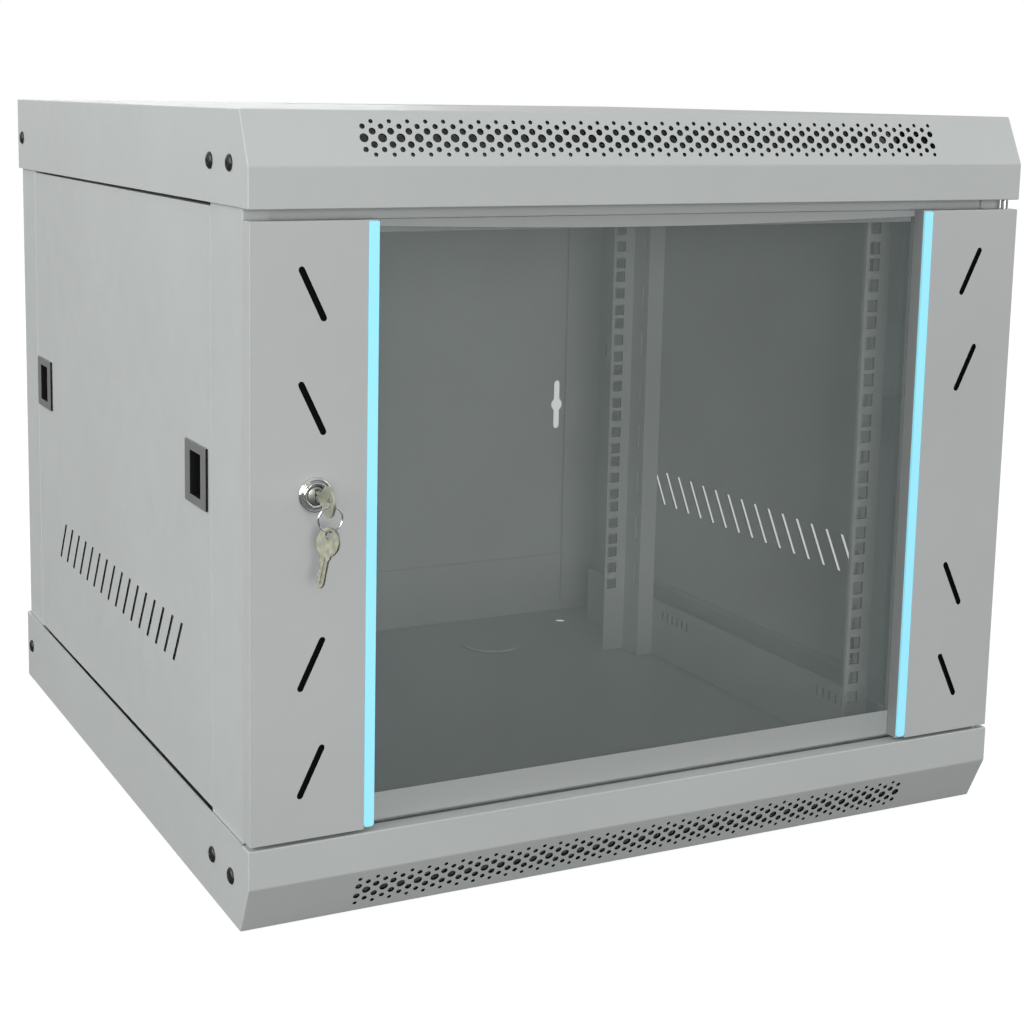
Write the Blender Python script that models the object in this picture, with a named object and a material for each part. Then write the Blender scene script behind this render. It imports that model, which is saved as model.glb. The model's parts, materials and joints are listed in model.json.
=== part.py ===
"""Nine-unit wall-mount network server rack cabinet, modelled as the pieces it is assembled from.

Frame: +Z is up, the glass door faces -Y and +X is to the right of someone facing the door.
The origin is the centre of the base's footprint, on the surface that the cabinet stands on.
Every left-hand piece is drawn at -X, and its right-hand twin is the same outline mirrored.
"""
import math

import bmesh
import bpy
from mathutils import Matrix, Vector

# Envelope
WIDTH = 0.600
DEPTH = 0.600
BASE_HEIGHT = 0.060
HOOD_HEIGHT = 0.060
RACK_UNIT = 0.04445
RACK_UNITS = 9
RACK_PLAY = 0.00495
HEIGHT = BASE_HEIGHT + RACK_UNITS * RACK_UNIT + RACK_PLAY + HOOD_HEIGHT
FRONT = -DEPTH / 2
BACK = DEPTH / 2
HOOD_BOTTOM = HEIGHT - HOOD_HEIGHT

# Sheet metal
STEEL = 0.002
THIN = 0.0015
GAP = 0.0003

# Folds of the hood and base: upright band, slope and the lip turned in behind the band
HOOD_BAND = 0.026
HOOD_SETBACK = 0.016
BASE_SLOPE = 0.034
BASE_SETBACK = 0.016
BAND_RETURN = 0.012

# Uprights, just inside the flanges of the hood and base
SIDE_FACE = WIDTH / 2 - STEEL - GAP
UPRIGHT_FRONT = FRONT + 0.017
UPRIGHT_BACK = -0.2227
UPRIGHT_LEG = 0.018
REAR_UPRIGHT_FRONT = 0.250
REAR_UPRIGHT_BACK = BACK - STEEL - GAP - STEEL - GAP
REAR_UPRIGHT_LEG = 0.040
REAR_UPRIGHT_RETURN = 0.012
UPRIGHT_FOOT = 0.0105
UPRIGHT_HEAD = HEIGHT - 0.010

# Lintels between the front uprights: how far each stands above and below the edge of its opening
LINTEL_LEG = 0.019
LINTEL_FACE = 0.015
LINTEL_HIDDEN = 0.014
LINTEL_SHOWN = 0.013

# Rear panel and its wall-hanging keyholes
REAR_HALF = 0.296
PANEL_LIP = 0.019
KEYHOLE_X = 0.250
KEYHOLE_Z = 0.2205
KEYHOLE_ARM = 0.0035
KEYHOLE_MIDDLE = 0.0065
KEYHOLE_REACH = 0.025

# Cable entries and the holes for levelling feet
ROOF_ENTRY_X = (-0.100, 0.100)
ROOF_ENTRY_Y = (0.165, 0.215)
ENTRY_MARGIN = 0.012
FLOOR_ENTRY = (0.135, 0.212)
FLOOR_ENTRY_RADIUS = 0.023
FLOOR_PLATE_RADIUS = 0.029
FOOT_HOLES = [(side * x, y) for side in (-1, 1) for x, y in ((0.205, -0.215), (0.240, 0.262))]
FOOT_HOLE_RADIUS = 0.0055

# 19-inch rails: square holes on the standard 465.1 mm centres
RAIL_INSIDE = 0.225
RAIL_CORNER = 0.247
RAIL_OUTSIDE = 0.2635
RAIL_LEG = 0.027
RAIL_FRONT_FACE = -0.222
RAIL_REAR_FACE = 0.150
RAIL_HOLE_X = 0.4651 / 2
RAIL_HOLE = 0.0095
RAIL_FIRST_HOLE = 0.00635
RAIL_HOLE_PITCH = 0.015875
RAIL_END = STEEL + 0.0006
RAIL_SLOT_WIDE = 0.004
RAIL_SLOT_TALL = 0.022
SUPPORT_INSIDE = 0.264
SUPPORT_TOP = 0.057
SUPPORT_SLOTS = 6
SUPPORT_SLOT_PITCH = 0.0084
SUPPORT_SLOT_WIDE = 0.0022
SUPPORT_SLOT_Z = (0.0405, 0.0485)
SUPPORT_SLOT_GROUPS = (-0.157, 0.085)

# M6 screws through the flanges into the uprights
SCREW_PLACES = (("front", -0.267), ("middle", -0.2293), ("rear", 0.283))
SCREW_TOP_Z = HEIGHT - 0.033
SCREW_BASE_Z = 0.0315
SCREW_HOLE = 0.0033
SCREW_SHANK = 0.0028
SCREW_HEAD = 0.0055

# Door
HINGE_X = 0.2925
HINGE_Y = FRONT + 0.007
PIN_RADIUS = 0.0025
PIN_HOLE = 0.0028
PIN_HEAD = 0.0045
PIN_REACH = 0.009
DOOR_BOTTOM = BASE_HEIGHT + 0.0025
DOOR_TOP = HOOD_BOTTOM - 0.007
DOOR_SIDE = WIDTH / 2 - 0.001
DOOR_DEPTH = 0.013
BAR_EDGE = 0.221
STRIP_EDGE = 0.2137
STRIP_DEPTH = 0.002
GLASS_FRONT = FRONT + 0.012
GLASS_THICK = 0.004
GLASS_BACK = GLASS_FRONT + GLASS_THICK
VENT_X = 0.258
VENT_RISE = 0.034
VENT_RUN = 0.0165
VENT_WIDTH = 0.0042
VENT_OFFSETS = (0.082, 0.153)
DOOR_MIDDLE = (DOOR_BOTTOM + DOOR_TOP) / 2
BACKING_X = (0.237, 0.279)
BACKING_MARGIN = 0.018
DOOR_RAIL_TOP = 0.009
DOOR_RAIL_BOTTOM = 0.017

# Lock, keys and ring
LOCK_X = -0.256
LOCK_Z = 0.2875
BARREL_RADIUS = 0.0095
BARREL_BORE = 0.0063
PLUG_RADIUS = 0.0060
NUT_BORE = 0.0098
NUT_RADIUS = 0.0130
BARREL_END = -0.278
CAM_FRONT = -0.277
CAM_LENGTH = 0.030
BOW_RADIUS = 0.0100
BOW_Y = -0.3225
BOW_HOLE = 0.0030
KEY_TIP = -0.2862
RING_RADIUS = 0.0080
RING_WIRE = 0.0006
RING_Y = BOW_Y - 0.003
RING_TOP = LOCK_Z - BOW_HOLE + RING_WIRE + GAP
SPARE_HOLE = 0.0030
SPARE_BOW = 0.0090
SPARE_LENGTH = 0.038
SPARE_TWIST = math.radians(60)
SPARE_LEAN = math.radians(24)

# Side panels and their latches
PANEL_FRONT = UPRIGHT_BACK + GAP
PANEL_BACK = REAR_UPRIGHT_FRONT - GAP
PANEL_BOTTOM = BASE_HEIGHT + 0.0013
PANEL_TOP = HOOD_BOTTOM - 0.002
PANEL_RETURN = 0.012
PANEL_SHEET = 0.001
SUPPORT_SPAN = (PANEL_FRONT + 0.0009, PANEL_BACK - 0.0007)
SLOT_COUNT = 16
SLOT_FIRST_Y = -0.148
SLOT_LAST_Y = 0.170
SLOT_Z = 0.1555
SLOT_HEIGHT = 0.032
SLOT_LEAN = 0.020
SLOT_WIDTH = 0.0046
LATCH_Z = 0.2835
LATCH_WIDE = 0.044
LATCH_TALL = 0.042
LATCH_RIM = 0.004
LATCH_PLATE = 0.0016
LATCH_BODY = 0.024
POCKET_WIDE = 0.022
POCKET_TALL = 0.030
LATCH_PLACES = (("front", -0.1945, -1), ("rear", 0.2215, 1))


# ---------------------------------------------------------------- materials
def make_material(name, colour, roughness, metallic, alpha=1.0):
    material = bpy.data.materials.new(name)
    material.use_nodes = True
    shader = material.node_tree.nodes["Principled BSDF"]
    shader.inputs["Base Color"].default_value = (*colour, 1.0)
    shader.inputs["Roughness"].default_value = roughness
    shader.inputs["Metallic"].default_value = metallic
    shader.inputs["Alpha"].default_value = alpha
    return material


def make_materials():
    return {
        "coat": make_material("grey_powder_coat", (0.56, 0.59, 0.58), 0.5, 0.0),
        "screw": make_material("black_oxide_steel", (0.02, 0.022, 0.022), 0.4, 0.8),
        "chrome": make_material("chrome", (0.75, 0.75, 0.76), 0.12, 1.0),
        "nickel": make_material("nickel_brass", (0.55, 0.52, 0.42), 0.3, 1.0),
        "glass": make_material("tinted_glass", (0.35, 0.4, 0.4), 0.05, 0.0, 0.4),
        "accent": make_material("cyan_plastic", (0.27, 0.78, 1.0), 0.4, 0.0),
        "backing": make_material("black_sheet", (0.01, 0.01, 0.01), 0.7, 0.0),
        "bezel": make_material("dark_plastic", (0.045, 0.047, 0.047), 0.4, 0.0),
        "slider": make_material("black_plastic", (0.015, 0.015, 0.015), 0.5, 0.0),
    }


# ---------------------------------------------------------------- shape tools
def spot(axis, a, b, along):
    """A point with one coordinate along the axis and a, b on the other two, in X, Y, Z order."""
    return {"X": (along, a, b), "Y": (a, along, b), "Z": (a, b, along)}[axis]


def add_prism(shape, axis, outline, low, high):
    """Extrude a closed outline between two places on an axis."""
    corners = [shape.verts.new(spot(axis, a, b, low)) for a, b in outline]
    face = shape.faces.new(corners)
    grown = bmesh.ops.extrude_face_region(shape, geom=[face])
    moved = [item for item in grown["geom"] if isinstance(item, bmesh.types.BMVert)]
    bmesh.ops.translate(shape, verts=moved, vec=spot(axis, 0, 0, high - low))


def rectangle(a, b):
    return [(a[0], b[0]), (a[1], b[0]), (a[1], b[1]), (a[0], b[1])]


def circle(a, b, radius, sides=16):
    turn = 2 * math.pi / sides
    return [(a + radius * math.cos(i * turn), b + radius * math.sin(i * turn)) for i in range(sides)]


def mirrored(outline, side):
    """The outline as drawn for the left (-1), or flipped across x = 0 for the right (+1)."""
    return [(-side * a, b) for a, b in outline]


def ordered(a, b):
    return (min(a, b), max(a, b))


def around(centre, half):
    return (centre - half, centre + half)


def inset_path(path, distance):
    """Offset an open path to its right-hand side, with mitred corners."""
    normals = []
    for start, end in zip(path, path[1:]):
        run = (Vector(end) - Vector(start)).normalized()
        normals.append(Vector((run.y, -run.x)))
    moved = []
    for i, point in enumerate(path):
        before = normals[max(i - 1, 0)]
        after = normals[min(i, len(normals) - 1)]
        mitre = (before + after).normalized()
        moved.append(tuple(Vector(point) + mitre * (distance / mitre.dot(before))))
    return moved


def folded(path, thickness=STEEL):
    """The outline of a sheet folded along a path, which is its outer face."""
    return list(path) + inset_path(path, thickness)[::-1]


def finish(name, shape, material):
    bmesh.ops.recalc_face_normals(shape, faces=shape.faces)
    mesh = bpy.data.meshes.new(name)
    shape.to_mesh(mesh)
    shape.free()
    piece = bpy.data.objects.new(name, mesh)
    bpy.context.collection.objects.link(piece)
    if material:
        mesh.materials.append(material)
    return piece


def prism(name, axis, outline, low, high, material):
    shape = bmesh.new()
    add_prism(shape, axis, outline, low, high)
    return finish(name, shape, material)


def block(name, x, y, z, material):
    return prism(name, "X", rectangle(y, z), x[0], x[1], material)


def combine(piece, shape, operation):
    """Cut a shape out of a piece (DIFFERENCE) or join it on (UNION)."""
    tool = finish(f"{piece.name}_{operation.lower()}", shape, None)
    tool.hide_render = True
    tool.display_type = "WIRE"
    change = piece.modifiers.new(operation.lower(), "BOOLEAN")
    change.operation = operation
    change.object = tool


def turned(name, axis, centre, profile, material, closed=False, sides=16):
    """Turn a profile of (radius, place along the axis) points about an axis through the centre."""
    shape = bmesh.new()
    points = [shape.verts.new(Vector(centre) + Vector(spot(axis, r, 0, along))) for r, along in profile]
    ends = points[1:] + points[:1] if closed else points[1:]
    edges = [shape.edges.new(pair) for pair in zip(points, ends)]
    bmesh.ops.spin(shape, geom=points + edges, cent=centre, axis=spot(axis, 0, 0, 1),
                   angle=2 * math.pi, steps=sides, use_merge=True)
    bmesh.ops.remove_doubles(shape, verts=shape.verts, dist=1e-6)
    piece = finish(name, shape, material)
    piece.data.shade_smooth()
    piece.data.set_sharp_from_angle(angle=math.radians(35))
    return piece


def set_origin(piece, place):
    """Move a piece's origin without moving the piece."""
    piece.data.transform(Matrix.Translation(-Vector(place)))
    piece.location = place


# ---------------------------------------------------------------- hood and base
def tray(name, path, open_z, material):
    """A folded tray with side flanges. The path is its outer face, from the open edge to the lip."""
    body = prism(name, "X", path, -WIDTH / 2, WIDTH / 2, material)
    inside = inset_path(path, STEEL)
    cavity = [(inside[0][0], open_z)] + inside + [(inside[-1][0], open_z)]
    shape = bmesh.new()
    add_prism(shape, "X", cavity, STEEL - WIDTH / 2, WIDTH / 2 - STEEL)
    combine(body, shape, "DIFFERENCE")
    return body


def flange_screw_holes(shape, z):
    for _, y in SCREW_PLACES:
        add_prism(shape, "X", circle(y, z, SCREW_HOLE, 12), -WIDTH, WIDTH)


def hood_path():
    """Lip, bottom edge, fold, top edge and rear flange, with the inside on the right hand."""
    return [(FRONT + BAND_RETURN, HOOD_BOTTOM), (FRONT, HOOD_BOTTOM), (FRONT, HOOD_BOTTOM + HOOD_BAND),
            (FRONT + HOOD_SETBACK, HEIGHT), (BACK, HEIGHT), (BACK, HOOD_BOTTOM)]


def base_path():
    return [(BACK, BASE_HEIGHT), (BACK, 0.0), (FRONT + BASE_SETBACK, 0.0), (FRONT, BASE_SLOPE),
            (FRONT, BASE_HEIGHT), (FRONT + BAND_RETURN, BASE_HEIGHT)]


def make_top_cover(paint):
    cover = tray("top_cover", hood_path(), HOOD_BOTTOM - 0.01, paint)
    holes = bmesh.new()
    flange_screw_holes(holes, SCREW_TOP_Z)
    add_prism(holes, "Z", circle(HINGE_X, HINGE_Y, PIN_HOLE), HOOD_BOTTOM - 0.005, HOOD_BOTTOM + 0.005)
    add_prism(holes, "Z", rectangle(ROOF_ENTRY_X, ROOF_ENTRY_Y), HEIGHT - 0.01, HEIGHT + 0.01)
    combine(cover, holes, "DIFFERENCE")
    x, y = [(low - ENTRY_MARGIN, high + ENTRY_MARGIN) for low, high in (ROOF_ENTRY_X, ROOF_ENTRY_Y)]
    block("top_cable_plate", x, y, (HEIGHT - 2 * STEEL - GAP, HEIGHT - STEEL - GAP), paint)


def make_base_pan(paint):
    pan = tray("base_pan", base_path(), BASE_HEIGHT + 0.01, paint)
    holes = bmesh.new()
    flange_screw_holes(holes, SCREW_BASE_Z)
    add_prism(holes, "Z", circle(HINGE_X, HINGE_Y, PIN_HOLE), BASE_HEIGHT - 0.005, BASE_HEIGHT + 0.005)
    add_prism(holes, "Z", circle(*FLOOR_ENTRY, FLOOR_ENTRY_RADIUS, 32), -0.01, 0.01)
    for x, y in FOOT_HOLES:
        add_prism(holes, "Z", circle(x, y, FOOT_HOLE_RADIUS, 12), -0.01, 0.01)
    combine(pan, holes, "DIFFERENCE")
    plate = circle(*FLOOR_ENTRY, FLOOR_PLATE_RADIUS, 32)
    prism("base_cable_plate", "Z", plate, STEEL + GAP, 2 * STEEL + GAP, paint)


# ---------------------------------------------------------------- uprights, lintels and back
def make_upright(name, path, side, screws, paint):
    upright = prism(name, "Z", mirrored(folded(path), side), UPRIGHT_FOOT, UPRIGHT_HEAD, paint)
    holes = bmesh.new()
    reach = ordered(side * (SIDE_FACE - 0.006), side * (SIDE_FACE + 0.006))
    for y in screws:
        for z in (SCREW_BASE_Z, SCREW_TOP_Z):
            add_prism(holes, "X", circle(y, z, SCREW_HOLE, 12), *reach)
    combine(upright, holes, "DIFFERENCE")


def make_uprights(paint):
    inner = UPRIGHT_LEG - SIDE_FACE
    front = [(inner, UPRIGHT_FRONT), (-SIDE_FACE, UPRIGHT_FRONT),
             (-SIDE_FACE, UPRIGHT_BACK), (inner, UPRIGHT_BACK)]
    rear = [(REAR_UPRIGHT_RETURN - SIDE_FACE, REAR_UPRIGHT_FRONT), (-SIDE_FACE, REAR_UPRIGHT_FRONT),
            (-SIDE_FACE, REAR_UPRIGHT_BACK), (REAR_UPRIGHT_LEG - SIDE_FACE, REAR_UPRIGHT_BACK)]
    screws = [y for _, y in SCREW_PLACES]
    for hand, side in (("left", -1), ("right", 1)):
        make_upright(f"front_upright_{hand}", front, side, screws[:2], paint)
        make_upright(f"rear_upright_{hand}", rear, side, screws[2:], paint)


def make_lintels(paint):
    """The recessed strips between the front uprights that the closed door rests against."""
    face = UPRIGHT_FRONT + STEEL + GAP
    leg = face + LINTEL_LEG
    half = SIDE_FACE - STEEL - 0.0007
    top = [(face, HOOD_BOTTOM - LINTEL_FACE), (face, HOOD_BOTTOM + LINTEL_FACE),
           (leg, HOOD_BOTTOM + LINTEL_FACE)]
    bottom = [(leg, BASE_HEIGHT - LINTEL_HIDDEN), (face, BASE_HEIGHT - LINTEL_HIDDEN),
              (face, BASE_HEIGHT + LINTEL_SHOWN)]
    prism("front_lintel_top", "X", folded(top), -half, half, paint)
    prism("front_lintel_bottom", "X", folded(bottom), -half, half, paint)


def keyhole(x, z):
    """A double-ended wall-hanging slot: a round middle with a narrow arm above and below."""
    angle = math.asin(KEYHOLE_ARM / KEYHOLE_MIDDLE)
    start = -math.pi / 2 + angle
    sweep = [start + (math.pi - 2 * angle) * i / 6 for i in range(7)]
    right = [(x + KEYHOLE_MIDDLE * math.cos(t), z + KEYHOLE_MIDDLE * math.sin(t)) for t in sweep]
    tip = z + KEYHOLE_REACH - KEYHOLE_ARM
    end = [(x + KEYHOLE_ARM * math.cos(t), tip + KEYHOLE_ARM * math.sin(t))
           for t in (math.pi * i / 6 for i in range(7))]
    upper = right + end
    lower = [(2 * x - a, 2 * z - b) for a, b in upper]
    return upper + lower


def make_rear_panel(paint):
    """Flush between the rear flanges of hood and base, with a joggled lip behind each flange."""
    bottom = BASE_HEIGHT + 0.0005
    top = HOOD_BOTTOM - 0.0005
    outside = BACK - STEEL - GAP
    inside = outside - STEEL
    section = [(outside, bottom - PANEL_LIP), (outside, bottom), (BACK, bottom), (BACK, top),
               (outside, top), (outside, top + PANEL_LIP), (inside, top + PANEL_LIP),
               (inside, top - STEEL), (BACK - STEEL, top - STEEL), (BACK - STEEL, bottom + STEEL),
               (inside, bottom + STEEL), (inside, bottom - PANEL_LIP)]
    panel = prism("rear_panel", "X", section, -REAR_HALF, REAR_HALF, paint)
    holes = bmesh.new()
    for x in (-KEYHOLE_X, KEYHOLE_X):
        add_prism(holes, "Y", keyhole(x, KEYHOLE_Z), BACK - 0.01, BACK + 0.01)
    combine(panel, holes, "DIFFERENCE")


# ---------------------------------------------------------------- rails
def rail_hole_heights():
    """Three holes to each rack unit, the first 6.35 mm up."""
    start = BASE_HEIGHT + RACK_PLAY / 2 + RAIL_FIRST_HOLE
    return [start + unit * RACK_UNIT + step * RAIL_HOLE_PITCH
            for unit in range(RACK_UNITS) for step in range(3)]


def make_rail(name, side, face_y, flange_y, paint):
    """A stepped rail: outer flange, leg and the punched face that equipment bolts to."""
    path = [(-RAIL_INSIDE, face_y), (-RAIL_CORNER, face_y), (-RAIL_CORNER, flange_y),
            (-RAIL_OUTSIDE, flange_y)]
    rail = prism(name, "Z", mirrored(folded(path), side), RAIL_END, HEIGHT - RAIL_END, paint)
    half = RAIL_HOLE / 2
    across = (side * RAIL_HOLE_X - half, side * RAIL_HOLE_X + half)
    holes = bmesh.new()
    for z in rail_hole_heights():
        add_prism(holes, "Y", rectangle(across, (z - half, z + half)), face_y - 0.006, face_y + 0.006)
    leg_slots(holes, side, face_y + 0.7 * (flange_y - face_y))
    combine(rail, holes, "DIFFERENCE")


def leg_slots(shape, side, y):
    """One upright slot for a cable tie in each rack unit of a rail's leg."""
    across = ordered(side * (RAIL_CORNER - 0.005), side * (RAIL_CORNER + 0.005))
    for unit in range(RACK_UNITS):
        z = BASE_HEIGHT + (unit + 0.5) * RACK_UNIT
        slot = rectangle(around(y, RAIL_SLOT_WIDE / 2), around(z, RAIL_SLOT_TALL / 2))
        add_prism(shape, "X", slot, *across)


def make_rails(paint):
    for hand, side in (("left", -1), ("right", 1)):
        make_rail(f"rail_front_{hand}", side, RAIL_FRONT_FACE, RAIL_FRONT_FACE + RAIL_LEG, paint)
        make_rail(f"rail_rear_{hand}", side, RAIL_REAR_FACE, RAIL_REAR_FACE - RAIL_LEG, paint)


def make_rail_supports(paint):
    """Angles along the sides of hood and base that the rails are bolted to, open behind their edges."""
    wall = WIDTH / 2 - STEEL - 0.0005
    path = [(-SUPPORT_INSIDE, SUPPORT_TOP), (-SUPPORT_INSIDE, RAIL_END), (-wall, RAIL_END)]
    low = folded(path)
    high = [(x, HEIGHT - z) for x, z in low]
    for hand, side in (("left", -1), ("right", 1)):
        for level, outline in (("bottom", low), ("top", high)):
            support = prism(f"rail_support_{level}_{hand}", "Y", mirrored(outline, side),
                            *SUPPORT_SPAN, paint)
            z = SUPPORT_SLOT_Z if level == "bottom" else [HEIGHT - z for z in SUPPORT_SLOT_Z[::-1]]
            support_slots(support, side, z)


def support_slots(support, side, z):
    """Groups of upright slots that a rail is bolted through, near the front and behind the middle."""
    across = ordered(side * (SUPPORT_INSIDE - 0.004), side * (SUPPORT_INSIDE + 0.004))
    holes = bmesh.new()
    for middle in SUPPORT_SLOT_GROUPS:
        for i in range(SUPPORT_SLOTS):
            y = middle + (i - (SUPPORT_SLOTS - 1) / 2) * SUPPORT_SLOT_PITCH
            add_prism(holes, "X", rectangle(around(y, SUPPORT_SLOT_WIDE / 2), z), *across)
    combine(support, holes, "DIFFERENCE")


# ---------------------------------------------------------------- screws and hinge pins
def make_screws(metal):
    """Pan-head screws: the shank runs through flange and upright, the head seats on the flange."""
    seat = WIDTH / 2 + GAP
    head = seat + 0.0035
    tip = WIDTH / 2 - 0.012
    profile = [(0, head), (SCREW_HEAD * 0.6, head - 0.0005), (SCREW_HEAD, head - 0.0020),
               (SCREW_HEAD, seat), (SCREW_SHANK, seat), (SCREW_SHANK, tip), (0, tip)]
    for hand, side in (("left", -1), ("right", 1)):
        for level, z in (("top", SCREW_TOP_Z), ("base", SCREW_BASE_Z)):
            for place, y in SCREW_PLACES:
                outward = [(radius, side * along) for radius, along in profile]
                turned(f"screw_{level}_{place}_{hand}", "X", (0, y, z), outward, metal, sides=10)


def make_hinge_pins(metal):
    centre = (HINGE_X, HINGE_Y, 0)
    over = HOOD_BOTTOM + STEEL + GAP
    top = [(0, DOOR_TOP - PIN_REACH), (PIN_RADIUS, DOOR_TOP - PIN_REACH), (PIN_RADIUS, over),
           (PIN_HEAD, over), (PIN_HEAD, over + PIN_RADIUS), (0, over + PIN_RADIUS)]
    under = BASE_HEIGHT - STEEL - GAP
    bottom = [(0, under - PIN_RADIUS), (PIN_HEAD, under - PIN_RADIUS), (PIN_HEAD, under),
              (PIN_RADIUS, under), (PIN_RADIUS, BASE_HEIGHT + GAP), (PIN_HEAD, BASE_HEIGHT + GAP),
              (PIN_HEAD, DOOR_BOTTOM - GAP), (PIN_RADIUS, DOOR_BOTTOM - GAP),
              (PIN_RADIUS, DOOR_BOTTOM + PIN_REACH), (0, DOOR_BOTTOM + PIN_REACH)]
    turned("hinge_pin_top", "Z", centre, top, metal)
    turned("hinge_pin_bottom", "Z", centre, bottom, metal)


# ---------------------------------------------------------------- door
def vent_outline(side, offset):
    """One slanted slot of a door bar; the slots lean outward towards the door's ends."""
    lean = side if offset > 0 else -side
    half_rise = VENT_RISE / 2
    half_run = lean * VENT_RUN / 2
    centre = Vector((side * VENT_X, DOOR_MIDDLE + offset))
    along = Vector((half_run, half_rise)).normalized()
    across = Vector((-along.y, along.x)) * VENT_WIDTH / 2
    reach = math.hypot(half_run, half_rise) - VENT_WIDTH / 2
    end = [centre + along * (reach + VENT_WIDTH / 2 * math.sin(t)) + across * math.cos(t)
           for t in (math.pi * i / 5 for i in range(6))]
    return [tuple(point) for point in end + [2 * centre - point for point in end]]


def make_door_bar(name, side, paint):
    """A folded channel, open at the back, with a ledge for the accent strip along its inner edge."""
    bar_back = FRONT + DOOR_DEPTH
    ledge = FRONT + STRIP_DEPTH + GAP
    wall = STRIP_EDGE + THIN
    outer = [(-DOOR_SIDE, FRONT), (-BAR_EDGE, FRONT), (-BAR_EDGE, ledge), (-STRIP_EDGE, ledge),
             (-STRIP_EDGE, GLASS_BACK), (-wall, GLASS_BACK), (-wall, bar_back), (-DOOR_SIDE, bar_back)]
    inner = [(THIN - DOOR_SIDE, GLASS_BACK + 0.004), (THIN - DOOR_SIDE, FRONT + THIN),
             (-BAR_EDGE - THIN, FRONT + THIN), (-BAR_EDGE - THIN, ledge + THIN),
             (-wall, ledge + THIN), (-wall, GLASS_BACK + 0.004)]
    bar = prism(name, "Z", mirrored(outer, side), DOOR_BOTTOM, DOOR_TOP, paint)
    hollow = bmesh.new()
    add_prism(hollow, "Z", mirrored(inner, side), DOOR_BOTTOM + THIN, DOOR_TOP - THIN)
    combine(bar, hollow, "DIFFERENCE")
    holes = bmesh.new()
    for offset in VENT_OFFSETS:
        for level in (offset, -offset):
            add_prism(holes, "Y", vent_outline(side, level), FRONT - 0.001, FRONT + 0.0025)
    if side < 0:
        add_prism(holes, "Y", circle(LOCK_X, LOCK_Z, BARREL_RADIUS + 0.0004, 24),
                  FRONT - 0.001, FRONT + 0.0025)
    else:
        for z in (DOOR_BOTTOM, DOOR_TOP):
            add_prism(holes, "Z", circle(HINGE_X, HINGE_Y, PIN_HOLE), z - 0.003, z + 0.003)
    combine(bar, holes, "DIFFERENCE")


def make_vent_backing(name, side, black):
    """A black sheet behind the slanted slots, cut away round the lock on the left."""
    front = FRONT + THIN + GAP
    x = ordered(side * BACKING_X[0], side * BACKING_X[1])
    z = (DOOR_BOTTOM + BACKING_MARGIN, DOOR_TOP - BACKING_MARGIN)
    backing = block(name, x, (front, front + 0.001), z, black)
    if side < 0:
        clear = 0.0145
        shape = bmesh.new()
        add_prism(shape, "Y", rectangle((LOCK_X - clear, LOCK_X + clear), (LOCK_Z - clear, LOCK_Z + clear)),
                  front - 0.002, front + 0.003)
        combine(backing, shape, "DIFFERENCE")


def make_door(paint, glass, accent, black):
    for hand, side in (("left", -1), ("right", 1)):
        make_door_bar(f"door_bar_{hand}", side, paint)
        make_vent_backing(f"vent_backing_{hand}", side, black)
        block(f"accent_strip_{hand}", ordered(side * STRIP_EDGE, side * (BAR_EDGE - GAP)),
              (FRONT, FRONT + STRIP_DEPTH), (DOOR_BOTTOM + 0.0015, DOOR_TOP - 0.0008), accent)
    half = STRIP_EDGE - GAP
    block("door_glass", (-half, half), (GLASS_FRONT, GLASS_BACK),
          (DOOR_BOTTOM + 0.0005, DOOR_TOP - 0.0005), glass)
    back = (GLASS_BACK + GAP, GLASS_BACK + GAP + THIN)
    block("door_rail_top", (-BAR_EDGE, BAR_EDGE), back, (DOOR_TOP - DOOR_RAIL_TOP, DOOR_TOP - 0.0005), paint)
    block("door_rail_bottom", (-BAR_EDGE, BAR_EDGE), back,
          (DOOR_BOTTOM + 0.0005, DOOR_BOTTOM + DOOR_RAIL_BOTTOM), paint)


# ---------------------------------------------------------------- lock and keys
def make_lock(chrome, nickel):
    centre = (LOCK_X, 0, LOCK_Z)
    barrel = [(BARREL_BORE, FRONT - 0.0035), (0.0100, FRONT - 0.0035), (0.0115, FRONT - 0.0020),
              (0.0115, FRONT - GAP), (BARREL_RADIUS, FRONT - GAP), (BARREL_RADIUS, BARREL_END),
              (BARREL_BORE, BARREL_END)]
    turned("lock_barrel", "Y", centre, barrel, chrome, closed=True, sides=24)
    nut_front = FRONT + THIN + GAP
    nut_back = nut_front + 0.004
    nut = [(NUT_BORE, nut_front), (NUT_RADIUS, nut_front), (NUT_RADIUS, nut_back), (NUT_BORE, nut_back)]
    turned("lock_nut", "Y", centre, nut, nickel, closed=True, sides=24)
    stub = 0.0042
    plug = [(0, FRONT - 0.0028), (PLUG_RADIUS, FRONT - 0.0028), (PLUG_RADIUS, BARREL_END + 0.0004),
            (stub, BARREL_END + 0.0004), (stub, CAM_FRONT + 0.0035), (0, CAM_FRONT + 0.0035)]
    piece = turned("lock_plug", "Y", centre, plug, chrome, sides=24)
    keyway = bmesh.new()
    add_prism(keyway, "Y", rectangle((LOCK_X - 0.0012, LOCK_X + 0.0012), (LOCK_Z - 0.004, LOCK_Z + 0.004)),
              FRONT - 0.01, FRONT + 0.0155)
    combine(piece, keyway, "DIFFERENCE")
    set_origin(piece, (LOCK_X, CAM_FRONT, LOCK_Z))
    make_cam(stub, nickel)


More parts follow.
